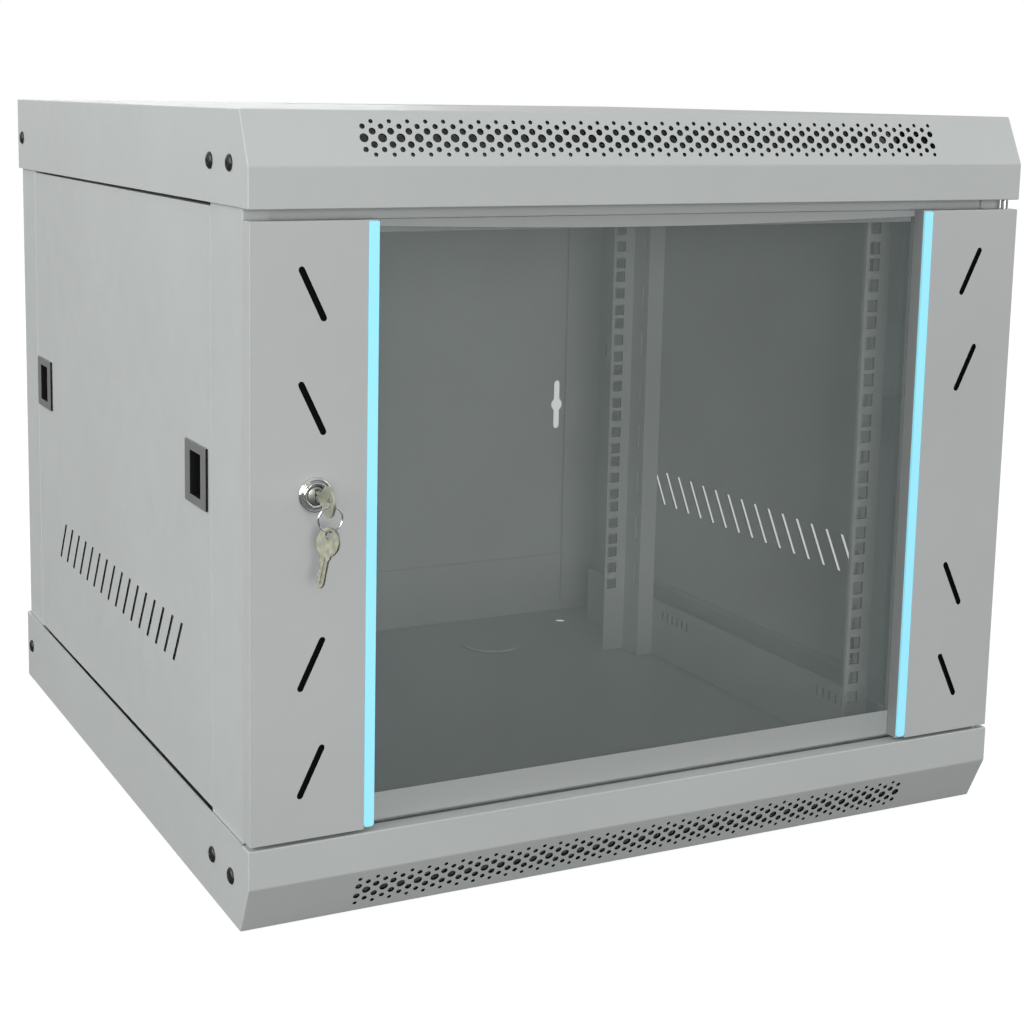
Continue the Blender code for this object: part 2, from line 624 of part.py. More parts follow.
def make_cam(stub, metal):
    """The tongue behind the door: it hangs down when unlocked and turns in behind the upright."""
    hub = 0.008
    tip = 0.005
    arch = [(LOCK_X + hub * math.cos(t), LOCK_Z + hub * math.sin(t))
            for t in (math.pi * i / 8 for i in range(9))]
    foot = [(LOCK_X + tip * math.cos(t), LOCK_Z - CAM_LENGTH + tip + tip * math.sin(t))
            for t in (math.pi + math.pi * i / 6 for i in range(7))]
    cam = prism("lock_cam", "Y", arch + foot, CAM_FRONT, CAM_FRONT + STEEL, metal)
    hole = bmesh.new()
    add_prism(hole, "Y", circle(LOCK_X, LOCK_Z, stub + 0.0004), CAM_FRONT - 0.002, CAM_FRONT + 0.004)
    combine(cam, hole, "DIFFERENCE")
    set_origin(cam, (LOCK_X, CAM_FRONT, LOCK_Z))


def key_outline(bow, neck, blade, length):
    """A key pointing down the second axis, with its bow's centre at the start."""
    reach = math.asin(neck / bow)
    sweep = 2 * math.pi - 2 * reach
    steps = [(-math.pi / 2 + reach) + sweep * i / 18 for i in range(19)]
    head = [(bow * math.cos(t), bow * math.sin(t)) for t in steps]
    shoulder = -bow - 0.0005
    shaft = [(-neck, shoulder), (-blade, shoulder - 0.001), (-blade, -length + 0.002),
             (-blade * 0.3, -length), (blade * 0.5, -length + 0.0015), (blade, shoulder - 0.001),
             (neck, shoulder)]
    return head + shaft


def make_inserted_key(metal):
    """The key in the lock stands edge-on, its bow in front of the door."""
    outline = key_outline(BOW_RADIUS, 0.0045, 0.0034, KEY_TIP - BOW_Y)
    turned_out = [(BOW_Y - b, LOCK_Z + a) for a, b in outline]
    half = 0.0008
    key = prism("key_in_lock", "X", turned_out, LOCK_X - half, LOCK_X + half, metal)
    hole = bmesh.new()
    add_prism(hole, "X", circle(RING_Y, LOCK_Z, BOW_HOLE), LOCK_X - 0.003, LOCK_X + 0.003)
    combine(key, hole, "DIFFERENCE")
    set_origin(key, (LOCK_X, CAM_FRONT, LOCK_Z))


def make_key_ring(metal):
    centre = (LOCK_X, RING_Y, RING_TOP - RING_RADIUS)
    wire = [(RING_RADIUS + r, along) for r, along in circle(0, 0, RING_WIRE, 6)]
    ring = turned("key_ring", "Y", centre, wire, metal, closed=True, sides=24)
    set_origin(ring, (LOCK_X, RING_Y, RING_TOP))


def make_spare_key(metal):
    """The second key hangs from the bottom of the ring, turned partly towards the left."""
    wire_z = RING_TOP - 2 * RING_RADIUS
    hole_z = wire_z - (SPARE_HOLE - RING_WIRE - 0.0005)
    bow_z = hole_z - 0.0044
    outline = key_outline(SPARE_BOW, 0.0040, 0.0030, SPARE_LENGTH - SPARE_BOW)
    half = 0.0008
    shape = bmesh.new()
    add_prism(shape, "Y", [(a, b + bow_z - wire_z) for a, b in outline], -half, half)
    key = finish("spare_key", shape, metal)
    hole = bmesh.new()
    add_prism(hole, "Y", circle(0, hole_z - wire_z, SPARE_HOLE, 20), -0.003, 0.003)
    settle = math.atan(math.tan(SPARE_LEAN) * math.sin(SPARE_TWIST))
    pose = (Matrix.Rotation(-settle, 4, "X") @ Matrix.Rotation(-SPARE_TWIST, 4, "Z")
            @ Matrix.Rotation(SPARE_LEAN, 4, "Y"))
    key.data.transform(pose)
    hole.transform(Matrix.Translation((LOCK_X, RING_Y, wire_z)) @ pose)
    key.location = (LOCK_X, RING_Y, wire_z)
    combine(key, hole, "DIFFERENCE")


# ---------------------------------------------------------------- side panels and latches
def panel_slots(shape, side, low, high):
    """A row of leaning slots: one stamping fits both sides, so the right-hand row leans the other way."""
    pitch = (SLOT_LAST_Y - SLOT_FIRST_Y) / (SLOT_COUNT - 1)
    w = SLOT_WIDTH / 2
    for i in range(SLOT_COUNT):
        y = SLOT_FIRST_Y + i * pitch
        top = (y + side * SLOT_LEAN / 2, SLOT_Z + SLOT_HEIGHT / 2)
        foot = (y - side * SLOT_LEAN / 2, SLOT_Z - SLOT_HEIGHT / 2)
        outline = [(foot[0] - w, foot[1]), (foot[0] + w, foot[1]), (top[0] + w, top[1]), (top[0] - w, top[1])]
        add_prism(shape, "X", outline, low, high)


def make_side_panel(name, side, paint):
    depth = ordered(side * SIDE_FACE, side * (SIDE_FACE - PANEL_RETURN))
    panel = block(name, depth, (PANEL_FRONT, PANEL_BACK), (PANEL_BOTTOM, PANEL_TOP), paint)
    inside = ordered(side * (SIDE_FACE - PANEL_SHEET), side * (SIDE_FACE - PANEL_RETURN - 0.01))
    hollow = bmesh.new()
    add_prism(hollow, "X", rectangle((PANEL_FRONT + PANEL_SHEET, PANEL_BACK - PANEL_SHEET),
                                     (PANEL_BOTTOM + PANEL_SHEET, PANEL_TOP - PANEL_SHEET)), *inside)
    combine(panel, hollow, "DIFFERENCE")
    through = ordered(side * (SIDE_FACE - 0.004), side * (SIDE_FACE + 0.004))
    holes = bmesh.new()
    panel_slots(holes, side, *through)
    half_wide = LATCH_WIDE / 2 - LATCH_RIM + GAP
    half_tall = LATCH_TALL / 2 - LATCH_RIM + GAP
    for _, y, _ in LATCH_PLACES:
        add_prism(holes, "X", rectangle((y - half_wide, y + half_wide),
                                        (LATCH_Z - half_tall, LATCH_Z + half_tall)), *through)
    combine(panel, holes, "DIFFERENCE")


def depth_range(side, near, far):
    """An X range measured inwards from the side panel's outer face."""
    return ordered(side * (SIDE_FACE - near), side * (SIDE_FACE - far))


def make_latch_housing(name, side, y, edge, bezel):
    """Bezel, deep pocket for a fingertip and a window for the bolt in the wall by the panel's edge."""
    housing = block(name, depth_range(side, -LATCH_PLATE - GAP, -GAP), around(y, LATCH_WIDE / 2),
                    around(LATCH_Z, LATCH_TALL / 2), bezel)
    body = bmesh.new()
    add_prism(body, "X", rectangle(around(y, LATCH_WIDE / 2 - LATCH_RIM),
                                   around(LATCH_Z, LATCH_TALL / 2 - LATCH_RIM)),
              *depth_range(side, -0.001, LATCH_BODY))
    combine(housing, body, "UNION")
    pocket = bmesh.new()
    add_prism(pocket, "X", rectangle(around(y, POCKET_WIDE / 2), around(LATCH_Z, POCKET_TALL / 2)),
              *depth_range(side, -0.01, LATCH_BODY - 0.002))
    combine(housing, pocket, "DIFFERENCE")
    window = bmesh.new()
    reach = ordered(y + edge * (POCKET_WIDE / 2 - 0.002), y + edge * LATCH_WIDE / 2)
    add_prism(window, "X", rectangle(reach, around(LATCH_Z, 0.0065)),
              *depth_range(side, LATCH_BODY - 0.0065, LATCH_BODY - 0.0018))
    combine(housing, window, "DIFFERENCE")


def make_latch_slider(name, side, y, edge, black):
    """Finger plate, web and bolt in one; it slides away from the panel's edge to free the bolt."""
    plate_front = 0.005
    bolt = (LATCH_BODY - 0.0058, LATCH_BODY - 0.0026)
    web = (0.0074, 0.0104)
    tip = 0.0270
    section = [(-0.002, plate_front), (web[1], plate_front), (web[1], bolt[0]), (tip, bolt[0]),
               (tip, bolt[1]), (web[0], bolt[1]), (web[0], plate_front + 0.003),
               (-0.002, plate_front + 0.003)]
    outline = [(side * (SIDE_FACE - depth), y + edge * reach) for reach, depth in section]
    slider = prism(name, "Z", outline, LATCH_Z - 0.006, LATCH_Z + 0.006, black)
    wings = bmesh.new()
    add_prism(wings, "X", rectangle(ordered(y - edge * 0.002, y + edge * web[1]), around(LATCH_Z, 0.0146)),
              *depth_range(side, plate_front, plate_front + 0.003))
    combine(slider, wings, "UNION")


def make_side(hand, side, paint, bezel, black):
    make_side_panel(f"side_panel_{hand}", side, paint)
    for place, y, edge in LATCH_PLACES:
        make_latch_housing(f"latch_housing_{place}_{hand}", side, y, edge, bezel)
        make_latch_slider(f"latch_slider_{place}_{hand}", side, y, edge, black)


# ---------------------------------------------------------------- assembly
def main():
    for leftover in list(bpy.data.objects):
        bpy.data.objects.remove(leftover, do_unlink=True)
    looks = make_materials()
    make_top_cover(looks["coat"])
    make_base_pan(looks["coat"])
    make_uprights(looks["coat"])
    make_lintels(looks["coat"])
    make_rear_panel(looks["coat"])
    make_rails(looks["coat"])
    make_rail_supports(looks["coat"])
    make_screws(looks["screw"])
    make_hinge_pins(looks["nickel"])
    make_door(looks["coat"], looks["glass"], looks["accent"], looks["backing"])
    make_lock(looks["chrome"], looks["nickel"])
    make_inserted_key(looks["nickel"])
    make_key_ring(looks["chrome"])
    make_spare_key(looks["nickel"])
    for hand, side in (("left", -1), ("right", 1)):
        make_side(hand, side, looks["coat"], looks["bezel"], looks["slider"])


main()
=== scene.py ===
"""The looks of a nine-unit wall-mount rack cabinet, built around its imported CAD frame.

Metres throughout, in the CAD's own frame: +Z up, the glass door faces -Y.
"""

import json
import math

import bmesh
import bpy
from mathutils import Matrix, Vector
from mathutils.geometry import delaunay_2d_cdt


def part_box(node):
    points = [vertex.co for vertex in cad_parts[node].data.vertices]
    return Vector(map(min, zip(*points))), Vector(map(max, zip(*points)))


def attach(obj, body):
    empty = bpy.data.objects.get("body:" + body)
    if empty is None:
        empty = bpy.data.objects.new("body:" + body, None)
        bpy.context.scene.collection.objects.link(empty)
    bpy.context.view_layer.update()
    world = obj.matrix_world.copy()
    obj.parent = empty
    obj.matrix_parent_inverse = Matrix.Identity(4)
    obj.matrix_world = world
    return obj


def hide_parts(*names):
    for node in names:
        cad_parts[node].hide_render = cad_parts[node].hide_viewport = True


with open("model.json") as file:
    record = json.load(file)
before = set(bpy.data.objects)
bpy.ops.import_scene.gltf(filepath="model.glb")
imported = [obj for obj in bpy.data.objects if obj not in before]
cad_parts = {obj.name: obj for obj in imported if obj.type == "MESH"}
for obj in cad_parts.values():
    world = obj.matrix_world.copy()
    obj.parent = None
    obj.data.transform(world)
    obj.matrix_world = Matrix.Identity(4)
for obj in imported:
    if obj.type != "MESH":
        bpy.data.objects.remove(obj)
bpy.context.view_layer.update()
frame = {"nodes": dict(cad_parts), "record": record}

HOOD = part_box("top_cover")
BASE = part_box("base_pan")
DOOR_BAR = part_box("door_bar_left")
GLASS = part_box("door_glass")
JOINT_AT = {joint["name"]: Vector(joint["pos_m"]) for joint in frame["record"]["behaviour"]["joints"]
            if "pos_m" in joint}
RIGHT = BASE[1].x
FRONT = BASE[0].y
BACK = BASE[1].y
BODY_OF = {node: body for body, nodes in frame["record"]["behaviour"]["bodies"].items() for node in nodes}

# Folds of the hood, which the base repeats upside down
BAND = 0.026
SETBACK = 0.016
LIP = 0.012
SHEET = 0.0016
FOLD = 0.0008
# No wall of a ventilation slot has a larger face than this, in square metres
SLOT_WALL = 0.0001
# No flange's corner edge is longer than this
CORNER_HEIGHT = 0.0025
# Edges that turn by less than this are left as they are
CREASE = math.radians(25.0)

# Limits on the dot product of two directions
SQUARE = 0.1
PARTLY_ALONG = 0.4
MOSTLY_ALONG = 0.9
ALONG = 0.99
SAME_WAY = 0.999


# ---------------------------------------------------------------- materials
def new_material(name, colour, roughness, metallic=0.0):
    material = bpy.data.materials.new(name)
    material.use_nodes = True
    shader = material.node_tree.nodes["Principled BSDF"]
    shader.inputs["Base Color"].default_value = (*colour, 1.0)
    shader.inputs["Roughness"].default_value = roughness
    shader.inputs["Metallic"].default_value = metallic
    return material


def shader_of(material):
    return material.node_tree.nodes["Principled BSDF"]


def node(material, kind, **values):
    """Add a node and set its sockets by name; a tuple is linked, anything else is a value."""
    made = material.node_tree.nodes.new(kind)
    for name, value in values.items():
        socket = made.inputs[name.replace("_", " ")]
        if isinstance(value, bpy.types.NodeSocket):
            material.node_tree.links.new(value, socket)
        else:
            socket.default_value = value
    return made


def noise(material, scale, detail=3.0, roughness=0.55, stretch=None):
    """Noise in the object's own metres, optionally stretched along an axis."""
    place = node(material, "ShaderNodeTexCoord").outputs["Object"]
    if stretch:
        place = node(material, "ShaderNodeMapping", Vector=place, Scale=stretch).outputs["Vector"]
    return node(material, "ShaderNodeTexNoise", Vector=place, Scale=scale, Detail=detail,
                Roughness=roughness).outputs["Fac"]


def spread(material, value, low, high, start=0.3, end=0.7):
    """Map a 0 to 1 value onto a range."""
    ramp = node(material, "ShaderNodeMapRange", Value=value)
    for name, number in (("From Min", start), ("From Max", end), ("To Min", low), ("To Max", high)):
        ramp.inputs[name].default_value = number
    return ramp.outputs["Result"]


def mixed_colour(material, value, dark, light):
    mix = material.node_tree.nodes.new("ShaderNodeMix")
    mix.data_type = "RGBA"
    mix.inputs[6].default_value = (*dark, 1.0)
    mix.inputs[7].default_value = (*light, 1.0)
    material.node_tree.links.new(value, mix.inputs[0])
    return mix.outputs[2]


def set_socket(material, socket, value):
    material.node_tree.links.new(value, shader_of(material).inputs[socket])


def bumped(material, *layers):
    """Stack bump layers, each (height, strength, distance)."""
    normal = None
    for height, strength, distance in layers:
        bump = node(material, "ShaderNodeBump", Height=height, Strength=strength, Distance=distance)
        if normal:
            material.node_tree.links.new(normal, bump.inputs["Normal"])
        normal = bump.outputs["Normal"]
    set_socket(material, "Normal", normal)


def powder_coat(name, colour, roughness=0.46, shift=0.03):
    """Fine orange peel over a faint cloudiness, as an oven-baked grey powder coat has."""
    material = new_material(name, colour, roughness)
    cloud = spread(material, noise(material, 5.0, 4.0), 0.0, 1.0)
    dark = [c * (1 - shift) for c in colour]
    light = [c * (1 + shift) for c in colour]
    set_socket(material, "Base Color", mixed_colour(material, cloud, dark, light))
    set_socket(material, "Roughness",
               spread(material, noise(material, 60.0, 3.0), roughness - 0.06, roughness + 0.07))
    peel = noise(material, 620.0, 2.0, 0.5)
    grain = noise(material, 2400.0, 2.0, 0.6)
    bumped(material, (peel, 0.10, 0.0004), (grain, 0.08, 0.00015))
    return material


def black_steel():
    material = new_material("black_oxide_screw", (0.055, 0.058, 0.058), 0.34, 0.75)
    set_socket(material, "Roughness", spread(material, noise(material, 900.0), 0.22, 0.38))
    bumped(material, (noise(material, 1500.0), 0.12, 0.0002))
    return material


def plated(name, colour, roughness, wear=0.08):
    """Plated metal with faint rubbing marks."""
    material = new_material(name, colour, roughness, 1.0)
    rubbed = spread(material, noise(material, 160.0, 2.0, 0.5, (1.0, 1.0, 3.0)), 0.0, 1.0)
    set_socket(material, "Base Color",
               mixed_colour(material, rubbed, [c * (1 - wear) for c in colour], colour))
    set_socket(material, "Roughness",
               spread(material, noise(material, 300.0, 2.0), roughness * 0.8, roughness * 1.25))
    bumped(material, (noise(material, 900.0, 2.0), 0.03, 0.0001))
    return material


def moulded(name, colour, roughness):
    """Matt moulded plastic with a fine spark-eroded grain."""
    material = new_material(name, colour, roughness)
    tone = spread(material, noise(material, 90.0, 3.0), 0.0, 1.0)
    set_socket(material, "Base Color", mixed_colour(material, tone, [c * 0.9 for c in colour], colour))
    set_socket(material, "Roughness", spread(material, noise(material, 500.0), roughness - 0.06,
                                             roughness + 0.06))
    bumped(material, (noise(material, 2200.0, 2.0), 0.25, 0.0002))
    return material


def dead_black(name, colour, roughness):
    """Matt black in a recess: next to no sheen."""
    material = moulded(name, colour, roughness)
    shader_of(material).inputs["Specular IOR Level"].default_value = 0.08
    return material


def strip_plastic():
    """Translucent cyan edge strip with a painted glow, evenly bright along its length."""
    colour = (0.32, 0.79, 0.95)
    material = new_material("cyan_strip_painted_glow", colour, 0.32)
    along = spread(material, noise(material, 24.0, 2.0, 0.5, (1.0, 1.0, 0.12)), 0.0, 1.0)
    set_socket(material, "Base Color",
               mixed_colour(material, along, [c * 0.95 for c in colour], colour))
    set_socket(material, "Roughness", spread(material, noise(material, 300.0), 0.27, 0.38))
    # Painted glow: the strip emits light, though it is no lamp
    shader_of(material).inputs["Emission Color"].default_value = (0.26, 0.63, 0.78, 1.0)
    shader_of(material).inputs["Emission Strength"].default_value = 0.5
    bumped(material, (noise(material, 1200.0), 0.05, 0.0001))
    return material


def tinted_glass():
    """Grey safety glass: a thin veil of tint, lightly smudged."""
    material = new_material("tinted_glass", (0.05, 0.06, 0.055), 0.05)
    shader_of(material).inputs["Alpha"].default_value = 0.34
    smudge = spread(material, noise(material, 7.0, 6.0, 0.65), 0.0, 1.0, 0.35, 0.68)
    set_socket(material, "Base Color",
               mixed_colour(material, smudge, (0.202, 0.232, 0.223), (0.233, 0.268, 0.258)))
    set_socket(material, "Roughness", spread(material, noise(material, 30.0, 5.0, 0.6), 0.03, 0.12))
    return material


COAT_COLOUR = (0.575, 0.602, 0.592)
LOOKS = {
    "coat": powder_coat("grey_powder_coat", COAT_COLOUR),
    "door_coat": powder_coat("door_powder_coat", (0.555, 0.577, 0.572), 0.42),
    "border": powder_coat("glass_border_paint", (0.425, 0.445, 0.439), 0.42, 0.01),
    # Painted shade: near-black for the walls of slots and holes, where shade falls
    "hole_shade": dead_black("painted_hole_shade", (0.010, 0.010, 0.010), 0.75),
    "screw": black_steel(),
    "zinc": plated("zinc_plate", (0.62, 0.63, 0.64), 0.3),
    "chrome": plated("chrome_plate", (0.78, 0.79, 0.79), 0.12, 0.05),
    "light_rim": moulded("near_white_rim", (0.90, 0.91, 0.90), 0.45),
    "steel_grey": plated("dull_steel_plug", (0.42, 0.43, 0.43), 0.32, 0.12),
    "nickel": plated("nickel_silver", (0.66, 0.66, 0.54), 0.40, 0.06),
    # Painted shade: a darker, duller copy of the nickel silver for the spare key
    "shaded_nickel": plated("dull_nickel_silver_painted_shade", (0.34, 0.34, 0.275), 0.52, 0.08),
    "strip": strip_plastic(),
    "glass": tinted_glass(),
    "black": dead_black("matt_black_sheet", (0.004, 0.004, 0.004), 0.7),
    # Painted sheen: black plastic bezels coloured grey for the sheen they show at a glancing angle
    "bezel": moulded("black_bezel_painted_sheen", (0.220, 0.227, 0.224), 0.42),
    "slider": moulded("black_plastic_slider", (0.055, 0.057, 0.057), 0.36),
    "pocket": dead_black("black_plastic_pocket", (0.014, 0.014, 0.014), 0.6),
    "return": powder_coat("shaded_return_coat", (0.310, 0.327, 0.322), 0.5),
}


# ---------------------------------------------------------------- mesh tools
def link_mesh(name, shape, look, closed=True):
    """Turn a bmesh into an object that wears a look; an open sheet keeps the way its faces look."""
    if closed:
        bmesh.ops.recalc_face_normals(shape, faces=shape.faces)
    mesh = bpy.data.meshes.new(name)
    shape.to_mesh(mesh)
    shape.free()
    piece = bpy.data.objects.new(name, mesh)
    bpy.context.scene.collection.objects.link(piece)
    mesh.materials.append(LOOKS[look])
    return piece


def smooth(piece, angle=40.0):
    """Smooth shading with creases kept, and broad faces left flat."""
    piece.data.shade_smooth()
    piece.data.set_sharp_from_angle(angle=math.radians(angle))
    weighted = piece.modifiers.new("flat_faces", "WEIGHTED_NORMAL")
    weighted.weight = 90
    weighted.keep_sharp = True


def place(piece, body, slot, *nodes):
    """Ride on a body, standing for these CAD nodes. The slot is not used."""
    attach(piece, body)
    if nodes:
        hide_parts(*nodes)
    return piece


def slot_of(cad_node):
    for row in frame["record"]["subparts"]:
        if row["node"] == cad_node:
            return row["material_slot"]
    return None


def is_fold(edge, narrow):
    """True where two broad faces meet, and not at the cut edge of a sheet."""
    return min(face.calc_area() / edge.calc_length() for face in edge.link_faces) > narrow


def cleaned(cad_node):
    """A welded copy of a CAD node's mesh, with coplanar triangles joined."""
    shape = bmesh.new()
    shape.from_mesh(frame["nodes"][cad_node].data)
    bmesh.ops.remove_doubles(shape, verts=shape.verts, dist=2e-6)
    bmesh.ops.dissolve_limit(shape, angle_limit=math.radians(1.0), verts=shape.verts, edges=shape.edges)
    return shape


def darken_slots(shape, across):
    """Give the walls of small slots the second material, painted shade that makes them near-black; across
    is the sheet's own normal.
    """
    for face in shape.faces:
        if face.calc_area() < SLOT_WALL and abs(face.normal.dot(across)) < SQUARE:
            face.material_index = 1


def is_corner(edge, axis):
    """True for a short edge along an axis, such as the corner of a thin flange."""
    run = edge.verts[1].co - edge.verts[0].co
    return run.length < CORNER_HEIGHT and abs(run.normalized().dot(axis)) > ALONG


def refined(cad_node, look, fold=0.0014, cut=0.00035, narrow=0.0026, slots_across=None, corners=None):
    """The CAD node's own shape with rounded folds and softened cut edges.

    A face narrower than narrow is the cut edge of a sheet. Slots_across is the normal of a sheet
    whose slots get painted shade, near-black, on their walls. Corners, an axis and a radius, rounds the
    short edges along that axis by that radius.
    """
    shape = cleaned(cad_node)
    if slots_across:
        darken_slots(shape, slots_across)
    weight = shape.edges.layers.float.new("bevel_weight_edge")
    axis, widest = corners or (None, fold)
    for edge in shape.edges:
        if len(edge.link_faces) == 2 and edge.calc_face_angle(0.0) > CREASE:
            broad = edge.is_convex and is_fold(edge, narrow)
            edge[weight] = (fold if broad else cut) / widest
            if axis and edge.is_convex and is_corner(edge, axis):
                edge[weight] = 1.0
    piece = link_mesh(f"{cad_node}_look", shape, look)
    if slots_across:
        # The second material is painted shade for the slot walls
        piece.data.materials.append(LOOKS["hole_shade"])
    bevel = piece.modifiers.new("rounding", "BEVEL")
    bevel.limit_method = "WEIGHT"
    bevel.width = widest
    bevel.segments = 3
    bevel.use_clamp_overlap = True
    smooth(piece)
    return place(piece, BODY_OF[cad_node], slot_of(cad_node), cad_node)


def circle(centre, radius, sides=16):
    turn = 2 * math.pi / sides
    return [(centre[0] + radius * math.cos(i * turn), centre[1] + radius * math.sin(i * turn))
            for i in range(sides)]


def rectangle(a, b):
    return [(a[0], b[0]), (a[1], b[0]), (a[1], b[1]), (a[0], b[1])]


def filled(outline, holes):
    """Triangles of a flat region with holes: (points, triangles). The outline's points come first."""
    points = [Vector(p) for p in outline]
    faces = [list(range(len(points)))]
    for hole in holes:
        start = len(points)
        points += [Vector(p) for p in hole]
        faces.append(list(range(start, len(points))))
    made = delaunay_2d_cdt(points, [], faces, 0, 1e-9, True)
    kept = [tri for tri, inputs in zip(made[2], made[5]) if 0 in inputs and len(inputs) == 1]
    return made[0], made[3], kept


def pierce(shape, face, axes, holes, margin=0.003):
    """Cut holes in a flat face, given in the two axes' coordinates, leaving a plain margin round it."""
    bmesh.ops.inset_individual(shape, faces=[face], thickness=margin)
    u, v = axes
    corners = list(face.verts)
    normal = face.normal.copy()
    level = corners[0].co.dot(normal)
    origin = normal * level
    outline = [(c.co.dot(u), c.co.dot(v)) for c in corners]
    points, sources, triangles = filled(outline, holes)
    verts = []
    for point, source in zip(points, sources):
        if source and source[0] < len(corners):
            verts.append(corners[source[0]])
        else:
            verts.append(shape.verts.new(origin + u * point.x + v * point.y))
    shape.faces.remove(face)
    for triangle in triangles:
        made = shape.faces.new([verts[i] for i in triangle])
        made.normal_update()
        if made.normal.dot(normal) < 0:
            made.normal_flip()


def plate(name, outline, holes, thickness, look):
    """A flat plate in the XZ plane, centred on y = 0, with holes through it."""
    points, _, triangles = filled(outline, holes)
    shape = bmesh.new()
    front = [shape.verts.new((p.x, -thickness / 2, p.y)) for p in points]
    for triangle in triangles:
        shape.faces.new([front[i] for i in triangle])
    bmesh.ops.dissolve_limit(shape, angle_limit=math.radians(1.0), verts=shape.verts, edges=shape.edges)
    grown = bmesh.ops.extrude_face_region(shape, geom=shape.faces[:])
    moved = [item for item in grown["geom"] if isinstance(item, bmesh.types.BMVert)]
    bmesh.ops.translate(shape, verts=moved, vec=(0, thickness, 0))
    return link_mesh(name, shape, look)


def soften(piece, width, angle=50.0, segments=2):
    """Round every sharp edge and shade smooth."""
    bevel = piece.modifiers.new("rounding", "BEVEL")
    bevel.width = width
    bevel.segments = segments
    bevel.angle_limit = math.radians(angle)
    smooth(piece, angle)
    return piece


def lathe(name, profile, look, sides=48, closed=False):
    """Spin a profile of (radius, height) round Z."""
    shape = bmesh.new()
    verts = [shape.verts.new((radius, 0.0, height)) for radius, height in profile]
    pairs = list(zip(verts, verts[1:])) + ([(verts[-1], verts[0])] if closed else [])
    edges = [shape.edges.new(pair) for pair in pairs]
    bmesh.ops.spin(shape, geom=verts + edges, axis=(0, 0, 1), cent=(0, 0, 0), steps=sides,
                   angle=2 * math.pi)
    bmesh.ops.remove_doubles(shape, verts=shape.verts, dist=1e-6)
    piece = link_mesh(name, shape, look)
    smooth(piece, 50.0)
    return piece


def rounded(profile, radius, steps=3):
    """Round the inner corners of a profile with short arcs."""
    out = [profile[0]]
    for before, corner, after in zip(profile, profile[1:], profile[2:]):
        corner = Vector(corner)
        back = (Vector(before) - corner)
        on = (Vector(after) - corner)
        reach = min(radius, back.length * 0.45, on.length * 0.45)
        start = corner + back.normalized() * reach
        end = corner + on.normalized() * reach
        for i in range(steps + 1):
            t = i / steps
            out.append(tuple(start * (1 - t) ** 2 + corner * (2 * t * (1 - t)) + end * t ** 2))
    return out + [profile[-1]]


def tube(name, points, radius, look, sides=10, closed=False):
    """A round wire along a list of points."""
    shape = bmesh.new()
    rings = []
    count = len(points)
    for i, point in enumerate(points):
        ahead = Vector(points[(i + 1) % count if closed else min(i + 1, count - 1)])
        behind = Vector(points[i - 1 if closed or i else 0])
        run = (ahead - behind).normalized()
        side = run.cross(Vector((0, 1, 0))).normalized()
        other = run.cross(side)
        rings.append([shape.verts.new(Vector(point) + (side * math.cos(t) + other * math.sin(t)) * radius)
                      for t in (2 * math.pi * k / sides for k in range(sides))])
    pairs = list(zip(rings, rings[1:])) + ([(rings[-1], rings[0])] if closed else [])
    for a, b in pairs:
        for k in range(sides):
            shape.faces.new((a[k], a[(k + 1) % sides], b[(k + 1) % sides], b[k]))
    if not closed:
        shape.faces.new(rings[0])
        shape.faces.new(rings[-1][::-1])
    piece = link_mesh(name, shape, look)
    smooth(piece, 50.0)
    return piece


def baked(piece):
    """Apply a piece's modifiers to its mesh."""
    graph = bpy.context.evaluated_depsgraph_get()
    mesh = bpy.data.meshes.new_from_object(piece.evaluated_get(graph))
    piece.modifiers.clear()
    piece.data = mesh


def carved(piece, *cutters):
    """Cut other pieces out of this one; the cutters are removed."""
    piece.modifiers.clear()
    for cutter in cutters:
        cutter.modifiers.clear()
        cut = piece.modifiers.new("carve", "BOOLEAN")
        cut.operation = "DIFFERENCE"
        cut.object = cutter
    baked(piece)
    for cutter in cutters:
        bpy.data.objects.remove(cutter, do_unlink=True)


def box_piece(name, low, high, look):
    shape = bmesh.new()
    bmesh.ops.create_cube(shape, size=1.0)
    low, high = Vector(low), Vector(high)
    shape.transform(Matrix.Translation((low + high) / 2) @ Matrix.Diagonal((*(high - low), 1.0)))
    return link_mesh(name, shape, look)


def moved(piece, matrix):
    piece.data.transform(matrix)
    return piece


# ---------------------------------------------------------------- hood and base
PERFORATION_COLUMNS = 36
PERFORATION_SPAN = 0.443
# The holes reach no further than this past the span
HOLE_MARGIN = 0.005
# No facet of a hole's wall is larger than this, in square metres
HOLE_WALL = 3e-6
HOLE_SIDES = 14
# Less than the areas of the slope and the roof
SLOPE_AREA = 0.005
ROOF_AREA = 0.1
# Each row's distance from the middle one along the slope, and the diameter of its holes
PERFORATION_ROWS = ((0.0112, 0.0029), (0.0078, 0.0037), (0.0045, 0.0047), (0.0, 0.0061),
                    (-0.0045, 0.0047), (-0.0078, 0.0037), (-0.0112, 0.0029))


def perforation(middle):
    """Seven rows of round holes, alternate rows half a pitch across."""
    pitch = PERFORATION_SPAN / (PERFORATION_COLUMNS - 0.5)
    holes = []
    for row, (along, diameter) in enumerate(PERFORATION_ROWS):
        stagger = pitch / 4 if row % 2 == 0 else -pitch / 4
        for column in range(PERFORATION_COLUMNS):
            x = (column - (PERFORATION_COLUMNS - 1) / 2) * pitch + stagger
            holes.append(circle((x, middle + along), diameter / 2, HOLE_SIDES))
    return holes


def face_towards(shape, direction, least_area):
    """The largest flat face that looks this way."""
    found = [f for f in shape.faces if f.normal.dot(direction) > SAME_WAY and f.calc_area() > least_area]
    return max(found, key=lambda f: f.calc_area())


